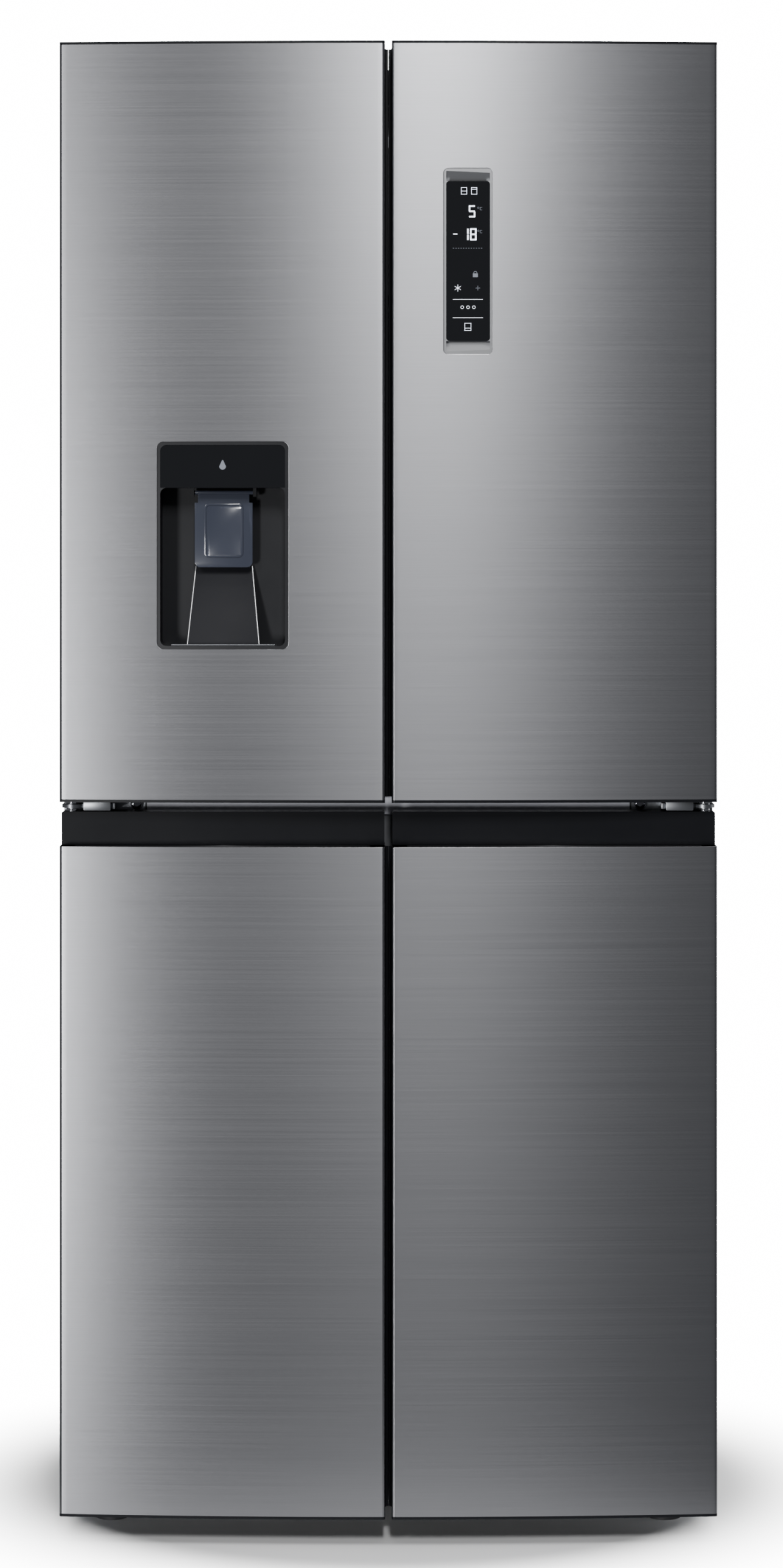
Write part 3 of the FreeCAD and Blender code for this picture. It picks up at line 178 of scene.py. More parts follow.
def block(name, low, high, round_axis=None, radius=0.0, segments=4):
    """A box between two corners. The edges along one axis are rounded, or all edges if no axis is named."""
    clear_selection()
    low = Vector(low)
    high = Vector(high)
    bpy.ops.mesh.primitive_cube_add(size=1, location=(low + high) / 2, scale=high - low)
    obj = settle(bpy.context.object, name)
    if radius > 0:
        bevel_edges(obj, lambda e: round_axis is None or along(e, round_axis), radius, segments)
    return obj


def drum(name, centre, radius, depth, axis, sides=32, bevel=0.0):
    """A round piece along an axis, its rims softened."""
    clear_selection()
    turn = {0: (0, math.pi / 2, 0), 1: (math.pi / 2, 0, 0), 2: (0, 0, 0)}[axis]
    bpy.ops.mesh.primitive_cylinder_add(
        vertices=sides, radius=radius, depth=depth, location=centre, rotation=turn
    )
    obj = settle(bpy.context.object, name)
    if bevel > 0:
        bevel_edges(obj, lambda e: not along(e, axis), bevel, 3)
    return obj


def cut(obj, cutter):
    """Cut one piece out of another and throw the cutter away."""
    only(obj)
    step = obj.modifiers.new("cut", "BOOLEAN")
    step.operation = "DIFFERENCE"
    step.solver = "EXACT"
    step.object = cutter
    bpy.ops.object.modifier_apply(modifier=step.name)
    bpy.data.objects.remove(cutter)
    return obj


def join(name, objects):
    clear_selection()
    for obj in objects:
        obj.select_set(True)
    bpy.context.view_layer.objects.active = objects[0]
    bpy.ops.object.join()
    return settle(bpy.context.object, name)


def soften(obj, width, segments=2):
    """Round every sharp edge of a piece a little."""
    only(obj)
    step = obj.modifiers.new("soften", "BEVEL")
    step.width = width
    step.segments = segments
    step.limit_method = "ANGLE"
    step.angle_limit = SOFTEN_ANGLE
    bpy.ops.object.modifier_apply(modifier=step.name)
    return obj


def smooth(obj):
    only(obj)
    bpy.ops.object.shade_smooth_by_angle(angle=SMOOTH_ANGLE)
    return obj


def even_shading(obj):
    """Smooth shading in which the large faces keep their own normals."""
    smooth(obj)
    step = obj.modifiers.new("normals", "WEIGHTED_NORMAL")
    step.keep_sharp = True
    step.weight = LARGE_FACE_WEIGHT
    bpy.ops.object.modifier_apply(modifier=step.name)
    return obj


def place(obj, body, material, stands_for=()):
    """Give a finished piece its material, body and slot, and hide the solids that it stands for."""
    obj.data.materials.clear()
    obj.data.materials.append(material)
    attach(obj, body)
    if stands_for:
        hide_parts(*stands_for)
    return obj


def mirrored(obj, name):
    """A copy on the other side of the middle, its faces turned outwards again."""
    twin = obj.copy()
    twin.data = obj.data.copy()
    twin.name = name
    bpy.context.collection.objects.link(twin)
    only(twin)
    twin.scale.x = -1
    bpy.ops.object.transform_apply(location=True, rotation=True, scale=True)
    with editing(twin):
        face_outwards()
    return twin


def place_both(left, material):
    """Place a piece of the cabinet and its mirror image at the other side."""
    for piece in (left, mirrored(left, left.name.replace("left", "right"))):
        place(piece, "cabinet", material)


# ---- front


def front_radius():
    """The radius of the arc that the front follows from side to side."""
    low, high = CAD_BOX
    half = (high[0] - low[0]) / 2
    bow = sizes().front_bow
    return (half**2 + bow**2) / (2 * bow)


def front_y(x, inset=0.0):
    """Where the bowed front lies at x."""
    radius = front_radius()
    return CAD_BOX[0][1] + radius - math.sqrt((radius - inset) ** 2 - x**2)


def bowed_block(name, x0, x1, z0, z1, y_back, steps=40, inset=0.0):
    """An upright edge spun along the bowed front, then drawn back to a flat rear face."""
    clear_selection()
    tall = z1 - z0
    start = Vector((x0 + tall / 2, front_y(x0, inset), (z0 + z1) / 2))
    bpy.ops.mesh.primitive_plane_add(size=tall, location=start, rotation=(math.pi / 2, 0, 0))
    obj = settle(bpy.context.object, name)
    radius = front_radius() - inset
    sweep = math.asin(x1 / radius) - math.asin(x0 / radius)
    centre = (0, CAD_BOX[0][1] + front_radius(), 0)
    with editing(obj):
        pick(obj, "EDGE", lambda e: all(v.co.x > x0 + tall / 2 for v in e.verts))
        bpy.ops.mesh.delete(type="VERT")
        bpy.ops.mesh.select_all(action="SELECT")
        bpy.ops.mesh.spin(steps=steps, angle=sweep, center=centre, axis=(0, 0, -1))
        bpy.ops.mesh.select_all(action="SELECT")
        bpy.ops.mesh.remove_doubles(threshold=1e-6)
        bpy.ops.mesh.select_all(action="SELECT")
        bpy.ops.mesh.extrude_region_move(TRANSFORM_OT_translate={"value": (0, y_back - start.y, 0)})
        bpy.ops.transform.resize(value=(1, 0, 1), center_override=(0, y_back, 0))
        face_outwards()
    return obj


# ---- finishes


def group(name, inputs):
    """An empty pattern: a vector and named numbers go in; height, roughness and tone come out."""
    tree = bpy.data.node_groups.new(name, "ShaderNodeTree")
    tree.interface.new_socket("Vector", in_out="INPUT", socket_type="NodeSocketVector")
    for label, default in inputs:
        socket = tree.interface.new_socket(label, in_out="INPUT", socket_type="NodeSocketFloat")
        socket.default_value = default
    for label in ("Height", "Roughness", "Tone"):
        tree.interface.new_socket(label, in_out="OUTPUT", socket_type="NodeSocketFloat")
    return tree, tree.nodes.new("NodeGroupInput"), tree.nodes.new("NodeGroupOutput")


def node(tree, kind, **values):
    made = tree.nodes.new("ShaderNode" + kind)
    for key, value in values.items():
        if hasattr(made, key):
            setattr(made, key, value)
        else:
            made.inputs[key].default_value = value
    return made


def wire(tree, *links):
    """Link sockets: from a node and its output to a node and its input."""
    for start, out, end, into in links:
        tree.links.new(start.outputs[out], end.inputs[into])


def remap(tree, low, high):
    """A node that maps 0 to 1 onto another range."""
    return node(tree, "MapRange", **{"To Min": low, "To Max": high})


def brush_lines():
    """Brushing: thin streaks that run along X, broken every few centimetres."""
    tree, source, out = group("Brush lines", [("Run", 9.0), ("Fineness", 2600.0)])
    spread = node(tree, "CombineXYZ")
    stretch = node(tree, "VectorMath", operation="MULTIPLY")
    fine = node(tree, "TexNoise", Scale=1.0, Detail=3.0, Roughness=0.6)
    coarse_stretch = node(tree, "VectorMath", operation="MULTIPLY")
    coarse = node(tree, "TexNoise", Scale=1.0, Detail=2.0)
    rough = remap(tree, 0.28, 0.34)
    tone = remap(tree, 0.90, 1.08)
    coarse_stretch.inputs[1].default_value = (2.2, 2.2, 900.0)
    wire(
        tree,
        (source, "Run", spread, "X"),
        (source, "Run", spread, "Y"),
        (source, "Fineness", spread, "Z"),
        (source, "Vector", stretch, 0),
        (spread, 0, stretch, 1),
        (stretch, 0, fine, "Vector"),
        (source, "Vector", coarse_stretch, 0),
        (coarse_stretch, 0, coarse, "Vector"),
        (coarse, "Fac", rough, "Value"),
        (fine, "Fac", tone, "Value"),
        (fine, "Fac", out, "Height"),
        (rough, 0, out, "Roughness"),
        (tone, 0, out, "Tone"),
    )
    return tree


def moulded_grain():
    """Moulded plastic: a fine leathery grain and slow changes of gloss."""
    tree, source, out = group("Moulded grain", [("Grain", 1400.0), ("Low", 0.4), ("High", 0.55)])
    grain = node(tree, "TexNoise", Detail=2.0)
    slow = node(tree, "TexNoise", Scale=14.0, Detail=4.0)
    rough = node(tree, "MapRange")
    tone = remap(tree, 0.93, 1.06)
    wire(
        tree,
        (source, "Vector", grain, "Vector"),
        (source, "Grain", grain, "Scale"),
        (source, "Vector", slow, "Vector"),
        (slow, "Fac", rough, "Value"),
        (source, "Low", rough, "To Min"),
        (source, "High", rough, "To Max"),
        (slow, "Fac", tone, "Value"),
        (grain, "Fac", out, "Height"),
        (rough, 0, out, "Roughness"),
        (tone, 0, out, "Tone"),
    )
    return tree


def new_material(name):
    """A material with its node tree, its shader and a source of object coordinates."""
    made = bpy.data.materials.new(name)
    made.use_nodes = True
    tree = made.node_tree
    return made, tree, tree.nodes["Principled BSDF"], node(tree, "TexCoord")


def finish(name, tree, base, bump, distance, values, settings):
    """A finish: base colour toned by a group's mask, with its roughness and a bump from its height."""
    made, nodes, shader, place_of = new_material(name)
    pattern = nodes.nodes.new("ShaderNodeGroup")
    pattern.node_tree = tree
    for key, value in values.items():
        pattern.inputs[key].default_value = value
    tint = node(nodes, "VectorMath", operation="SCALE")
    tint.inputs[0].default_value = tuple(base)
    relief = node(nodes, "Bump")
    relief.inputs["Strength"].default_value = bump
    relief.inputs["Distance"].default_value = distance
    wire(
        nodes,
        (place_of, "Object", pattern, "Vector"),
        (pattern, "Tone", tint, "Scale"),
        (tint, 0, shader, "Base Color"),
        (pattern, "Roughness", shader, "Roughness"),
        (pattern, "Height", relief, "Height"),
        (relief, 0, shader, "Normal"),
    )
    for key, value in settings.items():
        shader.inputs[key].default_value = value
    return made


def lit_symbols(name, base, strength):
    """Symbols behind glass, lit a little unevenly."""
    made, nodes, shader, place_of = new_material(name)
    noise = node(nodes, "TexNoise", Scale=260.0, Detail=1.0)
    ramp = remap(nodes, 0.85, 1.1)
    tint = node(nodes, "VectorMath", operation="SCALE")
    tint.inputs[0].default_value = tuple(base)
    shader.inputs["Emission Strength"].default_value = strength
    shader.inputs["Roughness"].default_value = 0.4
    wire(
        nodes,
        (place_of, "Object", noise, "Vector"),
        (noise, "Fac", ramp, "Value"),
        (ramp, 0, tint, "Scale"),
        (tint, 0, shader, "Base Color"),
        (tint, 0, shader, "Emission Color"),
    )
    return made


SHINE = "Specular IOR Level"
COAT = "Coat Weight"
THROUGH = "Transmission Weight"


def surface(grain, low, high):
    """Values for the moulded grain: how fine it is and the range of its roughness."""
    return {"Grain": grain, "Low": low, "High": high}


def make_finishes():
    """All finishes of the refrigerator, by name."""
    lines = brush_lines()
    grain = moulded_grain()
    paint = surface(900.0, 0.38, 0.48)
    gloss = surface(300.0, 0.05, 0.10)
    satin = surface(1200.0, 0.30, 0.42)
    matte = surface(1600.0, 0.55, 0.70)
    clear = surface(200.0, 0.04, 0.09)
    glass = surface(120.0, 0.02, 0.05)
    smoky = surface(260.0, 0.12, 0.2)
    brushed = {"Run": 9.0, "Fineness": 2600.0}
    drawn = {"Metallic": 1.0, "Anisotropic": 0.8, "Anisotropic Rotation": 0.25}
    see_through = {THROUGH: 0.85, "IOR": 1.35}
    as_glass = {THROUGH: 0.95, "IOR": 1.3}
    tinted = {THROUGH: 0.35, "IOR": 1.45, COAT: 0.6}
    # Each row: name, pattern, colour, bump strength and depth, the pattern's values, the shader's values.
    rows = {
        "inox": ("Brushed dark steel", lines, colours().steel, 0.10, 0.0002, brushed, drawn),
        "cabinet": ("Cabinet paint", grain, colours().cabinet, 0.06, 0.0002, paint, {COAT: 0.15}),
        "galvanised": ("Zinc sheet", grain, (0.42, 0.43, 0.45), 0.05, 0.0002, satin, {"Metallic": 0.85}),
        "foam": ("Foam", grain, (0.72, 0.62, 0.40), 0.5, 0.0008, matte, {}),
        "liner": ("White liner", grain, (0.80, 0.81, 0.82), 0.03, 0.0002, satin, {COAT: 0.2}),
        "black": ("Black plastic", grain, colours().black, 0.10, 0.0002, satin, {SHINE: 0.12}),
        "gasket": ("Gasket", grain, (0.16, 0.165, 0.17), 0.08, 0.0002, matte, {}),
        "clear": ("Clear plastic", grain, (0.86, 0.92, 0.95), 0.01, 0.0001, clear, see_through),
        "glass": ("Shelf glass", grain, (0.82, 0.95, 0.92), 0.01, 0.0001, glass, as_glass),
        "smoky": ("Smoky paddle", grain, (0.075, 0.085, 0.12), 0.02, 0.0002, smoky, tinted),
        "recess": ("Recess plastic", grain, (0.009, 0.0095, 0.012), 0.08, 0.0002, satin, {SHINE: 0.3}),
        "ramp": ("Ramp plastic", grain, (0.012, 0.0125, 0.016), 0.15, 0.0003, matte, {SHINE: 0.25}),
        "chrome": ("Hinge chrome", grain, (0.62, 0.62, 0.64), 0.02, 0.0001, gloss, {"Metallic": 1.0}),
        "plate": ("Hinge plate", grain, (0.30, 0.31, 0.33), 0.05, 0.0002, satin, {"Metallic": 0.9}),
        "screw": ("Dark chrome", grain, (0.20, 0.20, 0.22), 0.02, 0.0001, gloss, {"Metallic": 1.0}),
        "silver": ("Satin silver", lines, (0.46, 0.465, 0.48), 0.05, 0.0001, {"Run": 30.0}, {"Metallic": 0.9}),
        "gloss": ("Black glass", grain, (0.006, 0.0065, 0.008), 0.004, 0.0001, gloss, {COAT: 1.0}),
        "machine": ("Compressor black", grain, (0.018, 0.018, 0.02), 0.15, 0.0004, satin, {}),
        "foot": ("Foot plastic", grain, (0.03, 0.03, 0.032), 0.12, 0.0003, matte, {}),
        # The bright rim finish also colours the ramp's side bars, which are painted highlights.
        "rim": ("Bright rim", grain, (0.80, 0.81, 0.83), 0.02, 0.0001, satin, {"Metallic": 0.35}),
        # Crossbar paint: real grey paint, lightened far past its own tone as painted light for the shaded gap
        # between the doors.
        "strip": ("Crossbar paint", grain, (0.72, 0.73, 0.80), 0.03, 0.0001, satin, {}),
    }
    lit = {
        "symbols": ("Lit symbols", colours().light, 2.2),
        "dim": ("Dim symbols", (0.20, 0.22, 0.26), 0.25),
        "lamp": ("Lamp cover", (0.92, 0.95, 1.0), 0.4),
    }
    made = {key: finish(*row) for key, row in rows.items()}
    made.update({key: lit_symbols(*row) for key, row in lit.items()})
    return made


NODE_FINISHES = {
    "inox_front": "inox",
    "cabinet_paint": "cabinet",
    "galvanised": "galvanised",
    "foam": "foam",
    "white_liner": "liner",
    "black_trim": "black",
    "gasket_grey": "gasket",
    "clear_plastic": "clear",
    "tank_lid_white": "liner",
    "shelf_glass": "glass",
    "hinge_steel": "plate",
    "dark_chrome": "screw",
    "satin_silver": "silver",
    "gloss_black": "gloss",
    "smoky_paddle": "smoky",
    "spout_grey": "black",
    "compressor_black": "machine",
    "fan_plastic": "foot",
    "foot_plastic": "foot",
}
FINISHES = {}


class FRIDGE_OT_finishes(bpy.types.Operator):
    """Build every finish and give each part of the frame its own"""

    bl_idname = "fridge.finishes"
    bl_label = "Finishes"

    def execute(self, context):
        FINISHES.update(make_finishes())
        slots = {part["node"]: part["material_slot"] for part in frame["record"]["subparts"]}
        for name, obj in frame["nodes"].items():
            obj.data.materials.clear()
            obj.data.materials.append(FINISHES[NODE_FINISHES[slots[name]]])
        return {"FINISHED"}


# ---- doors


LINER_GAP = 0.2 * MM  # between a steel skin and the liner behind it
LOOP_MARGIN = 1 * MM  # from a window to the loops of edges around it
WINDOW_GROW = 0.1 * MM  # a window over the part that is set into it
DISPENSER_CORNER = 7.5 * MM
DISPLAY_CORNER = 5 * MM
FIN_HALF = 0.6 * MM
FIN_END_GAP = 2 * MM
FIN_MEET = 0.15 * MM  # from a fin's tip to the middle of the slot
ROOT_HALF = 5 * MM
ROOT_PROUD = 0.9 * MM


def door_skin(name, node_name, windows):
    """One door's steel skin: bowed, rounded along its uprights, with windows for what is set into it."""
    low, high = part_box(node_name)
    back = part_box(node_name.replace("skin", "liner"))[0][1] - LINER_GAP
    skin = bowed_block(name, low[0], high[0], low[2], high[2], back)
    bevel_edges(skin, lambda e: along(e, 2) and is_front_corner(e, low, high, back), sizes().door_edge, 6)
    for window in windows:
        corners = [corner.co for corner in window.data.vertices]
        for axis in (0, 2):
            slice_across(skin, axis, min(corner[axis] for corner in corners) - LOOP_MARGIN)
            slice_across(skin, axis, max(corner[axis] for corner in corners) + LOOP_MARGIN)
        cut(skin, window)
    soften(skin, sizes().fold_edge)
    even_shading(skin)
    return skin


def slice_across(obj, axis, level):
    """Add a loop of edges across a piece at one level."""
    point = [0, 0, 0]
    normal = [0, 0, 0]
    point[axis] = level
    normal[axis] = 1
    with editing(obj):
        bpy.ops.mesh.select_all(action="SELECT")
        bpy.ops.mesh.bisect(plane_co=point, plane_no=normal)


def is_front_corner(edge, low, high, back):
    """Whether an edge stands at a side of the door and well in front of its back."""
    middle = (edge.verts[0].co + edge.verts[1].co) / 2
    at_side = min(abs(middle.x - low[0]), abs(middle.x - high[0])) < 0.5 * MM
    return at_side and middle.y < back - 10 * MM


def window_for(node_name, radius):
    """A cutter with the outline of a part that is set into a door."""
    low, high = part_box(node_name)
    return block(
        "window",
        (low[0] - WINDOW_GROW, low[1] - 20 * MM, low[2] - WINDOW_GROW),
        (high[0] + WINDOW_GROW, high[1] + 0.5 * MM, high[2] + WINDOW_GROW),
        1,
        radius,
        FINE_SEGMENTS,
    )


class FRIDGE_OT_slot_seals(bpy.types.Operator):
    """Model the soft black fins that close the slot between the left and right doors"""

    bl_idname = "fridge.slot_seals"
    bl_label = "Slot seals"

    def execute(self, context):
        hinge = {joint["child"]: joint["pos_m"] for joint in frame["joints"] if "pos_m" in joint}
        for level in ("upper", "lower"):
            door = level + "_left_door"
            low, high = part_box(level + "_left_skin")
            depth = hinge[door][1]
            x0 = high[0] - 1 * MM
            z0 = low[2] + FIN_END_GAP
            z1 = high[2] - FIN_END_GAP
            fin = block("fin", (x0, depth - FIN_HALF, z0), (-FIN_MEET, depth + FIN_HALF, z1), 2, 0.4 * MM, 3)
            root_end = (high[0] + ROOT_PROUD, depth + ROOT_HALF, z1)
            root = block("root", (x0, depth - ROOT_HALF, z0), root_end, 2, 0.8 * MM, 3)
            left = smooth(join(level + "_slot_fin_left", [fin, root]))
            right = mirrored(left, level + "_slot_fin_right")
            place(left, door, FINISHES["black"])
            place(right, level + "_right_door", FINISHES["black"])
        return {"FINISHED"}


class FRIDGE_OT_door_skins(bpy.types.Operator):
    """Model the four bowed steel door skins"""

    bl_idname = "fridge.door_skins"
    bl_label = "Door skins"

    def execute(self, context):
        for level in ("upper", "lower"):
            for side in ("left", "right"):
                windows = []
                if (level, side) == ("upper", "left"):
                    windows.append(window_for("dispenser_housing", DISPENSER_CORNER))
                if (level, side) == ("upper", "right"):
                    windows.append(window_for("display_frame", DISPLAY_CORNER))
                door = level + "_" + side
                skin = door_skin(door + "_steel_skin", door + "_skin", windows)
                stands_for = (door + "_skin", door + "_insulation")
                place(skin, door + "_door", FINISHES["inox"], stands_for)
        return {"FINISHED"}


# ---- display


DIGIT_BARS = {"1": "bc", "5": "afgcd", "8": "abcdefg"}
DIGIT_WIDTH_SHARE = 0.55
DIGIT_BAR_SHARE = 0.13
DIGIT_GAP_SHARE = 0.25  # of a bar's thickness, at both ends of each bar
BAR_FRONT = 0.12 * MM  # in front of the glass
BAR_BACK = 0.02 * MM
BAR_CORNER = 0.25 * MM
RING_PROUD = 0.1 * MM
RING_FLATNESS = 0.3
OUTLINE = 0.45 * MM
SPOKE = 0.55 * MM

# Places on the glass in millimetres, from its left edge or down from its top.
LINE_ENDS = (8, 44)
LINE_TOPS = (141.3, 163.3)
LINE_THICK = 0.5
DOTS = 12
DOT_PITCH = 3.05
DOT_WIDTH = 1.6
DOT_TOP = 80.1


def bar(low_x, high_x, low_z, high_z, face):
    """A thin lit bar just in front of the glass."""
    low = (low_x, face - BAR_FRONT, low_z)
    return block("bar", low, (high_x, face - BAR_BACK, high_z), 1, BAR_CORNER, 2)


def digit(x, z, height, face, figure):
    """A seven-bar digit whose lower left corner is at x, z."""
    wide = height * DIGIT_WIDTH_SHARE
    thick = height * DIGIT_BAR_SHARE
    half = height / 2
    gap = thick * DIGIT_GAP_SHARE
    places = {
        "a": (x + gap, x + wide - gap, z + height - thick, z + height),
        "g": (x + gap, x + wide - gap, z + half - thick / 2, z + half + thick / 2),
        "d": (x + gap, x + wide - gap, z, z + thick),
        "f": (x, x + thick, z + half + gap, z + height - gap),
        "b": (x + wide - thick, x + wide, z + half + gap, z + height - gap),
        "e": (x, x + thick, z + gap, z + half - gap),
        "c": (x + wide - thick, x + wide, z + gap, z + half - gap),
    }
    return [bar(*places[letter], face) for letter in DIGIT_BARS[figure]]


def ring_mark(x, z, radius, face, thick=0.5 * MM):
    """A small open circle, such as a degree sign, flattened against the glass."""
    clear_selection()
    depth = face - RING_PROUD
    bpy.ops.mesh.primitive_torus_add(
        location=(x, depth, z),
        rotation=(math.pi / 2, 0, 0),
        major_radius=radius,
        minor_radius=thick / 2,
        major_segments=20,
        minor_segments=6,
    )
    mark = settle(bpy.context.object, "ring_mark")
    mark.scale.y = RING_FLATNESS
    mark.location.y = depth * (1 - RING_FLATNESS)
    return settle(mark, "ring_mark")


def spokes(x, z, radius, face, count=3):
    """Crossed bars, such as a snow crystal."""
    made = []
    centre = Matrix.Translation((x, face, z))
    for n in range(count):
        arm = bar(x - SPOKE / 2, x + SPOKE / 2, z - radius, z + radius, face)
        arm.data.transform(centre @ Matrix.Rotation(n * math.pi / count, 4, "Y") @ centre.inverted())
        made.append(arm)
    return made


def outline_box(x, z, wide, tall, face, shelf):
    """The outline of a small cabinet, with a line across it at a share of its height."""
    level = z + tall * shelf
    return [
        bar(x, x + wide, z, z + OUTLINE, face),
        bar(x, x + wide, z + tall - OUTLINE, z + tall, face),
        bar(x, x + OUTLINE, z, z + tall, face),
        bar(x + wide - OUTLINE, x + wide, z, z + tall, face),
        bar(x, x + wide, level, level + OUTLINE, face),
    ]


def celsius(x, z, face):
    """A small degree ring and the open bracket of a C."""
    x0, x1 = x + 2 * MM, x + 4.6 * MM
    z0, z1 = z + 1.2 * MM, z + 4.8 * MM
    return [
        ring_mark(x, z + 4 * MM, 0.9 * MM, face, 0.4 * MM),
        bar(x0, x0 + OUTLINE, z0, z1, face),
        bar(x0, x1, z0, z0 + OUTLINE, face),
        bar(x0, x1, z1 - OUTLINE, z1, face),
    ]


def padlock(x, z, face):
    return [
        bar(x, x + 6 * MM, z, z + 4.6 * MM, face),
        ring_mark(x + 3 * MM, z + 5 * MM, 1.9 * MM, face, 0.7 * MM),
    ]


class FRIDGE_OT_display(bpy.types.Operator):
    """Model the display's lit and dim symbols"""

    bl_idname = "fridge.display"
    bl_label = "Display"

    def execute(self, context):
        low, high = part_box("display_glass")
        middle = (low[0] + high[0]) / 2

        def across(distance):
            return low[0] + distance * MM

        def down(distance):
            return high[2] - distance * MM

        lit = self.bright_marks(low[1], middle, across, down)
        dim = self.dim_marks(low[1], across, down)
        for name, pieces, tone in (("lit_symbols", lit, "symbols"), ("dim_symbols", dim, "dim")):
            place(join(name, pieces), "upper_right_door", FINISHES[tone])
        return {"FINISHED"}

    def bright_marks(self, face, middle, across, down):
        """Two cabinets, the two temperatures, a snow crystal, three rings between two lines, a cabinet."""
        tall = sizes().digit_height

        def line(level):
            ends = [across(end) for end in LINE_ENDS]
            return bar(*ends, down(level + LINE_THICK), down(level), face)

        return [
            *outline_box(across(18), down(16), 7 * MM, 8.5 * MM, face, 0.45),
            *outline_box(across(30), down(16), 7 * MM, 8.5 * MM, face, 0.7),
            *digit(across(27), down(43.5), tall, face, "5"),
            bar(across(8.5), across(13.5), down(64), down(62.8), face),
            *digit(across(19), down(71), tall, face, "1"),
            *digit(across(28.5), down(71), tall, face, "8"),
            *spokes(across(14), down(128), 4.2 * MM, face),
            line(LINE_TOPS[0]),
            *(ring_mark(middle + n * 7 * MM, down(151), 1.7 * MM, face) for n in (-1, 0, 1)),
            line(LINE_TOPS[1]),
            *outline_box(across(22), down(179), 8 * MM, 9 * MM, face, 0.3),
        ]

    def dim_marks(self, face, across, down):
        """The degree signs, a dotted line, a padlock and a small cross."""
        dim = []
        for level in (36, 63.5):
            dim += celsius(across(38.5), down(level), face)
        for n in range(DOTS):
            x = across(LINE_ENDS[0] + n * DOT_PITCH)
            dim.append(bar(x, x + DOT_WIDTH * MM, down(DOT_TOP + LINE_THICK), down(DOT_TOP), face))
        dim += padlock(across(32), down(115), face)
        dim += spokes(across(38), down(128), 2.8 * MM, face, 2)
        return dim


# ---- dispenser


RECESS_FLOOR = 4 * MM
RECESS_WALL = 3.2 * MM
RIM_DEPTH = 14 * MM
RIM_PROUD = 0.7 * MM  # of the steel around it
RIM_WIDTH = 1.2 * MM
RIM_HOLE_CORNER = 6.5 * MM
RAMP_HALF = 34 * MM
RAMP_THICK = 3 * MM
RAMP_FLARE = 1.27  # the foot's width over the top's
RAMP_DROP = 94 * MM  # from the black panel's foot to the ramp's top
FOOT_SET_BACK = 12 * MM  # the ramp's foot from the rim's rear
HIGHLIGHT_HALF = 0.5 * MM
HIGHLIGHT_SPREAD = 9.2 * MM  # of a painted highlight bar's foot, which follows the flare
SLATS = 9
SLAT_PITCH = 2.6 * MM
SLAT_WIDTH = 1.1 * MM
SLAT_HALF_LENGTH = 62 * MM
PADDLE_EAR = 4.5 * MM
PADDLE_HALF_THICK = 1.5 * MM
PADDLE_PIN_RADIUS = 2.5 * MM
NOTCH_HALF = 4 * MM
NOTCH_DROP = 12 * MM
FRAME_SIDE = 16 * MM  # from the paddle's edges to the frame raised on its face
FRAME_FOOT = 12 * MM
FRAME_TOP = 13 * MM
FRAME_WIDTH = 2.4 * MM
DROP_RADIUS = 4 * MM
DROP_STRETCH = 0.9  # how much the point rises above a circle
DROP_PINCH = 0.35  # how much the upper half narrows


def move_underside(obj, shift, widen=1.0, about=(0, 0, 0)):
    """Widen the lowest face of a piece along X, then move it."""
    with editing(obj):
        pick(obj, "FACE", lambda f: f.normal.z < -0.9)
        bpy.ops.transform.resize(value=(widen, 1, 1), center_override=about)
        bpy.ops.transform.translate(value=shift)


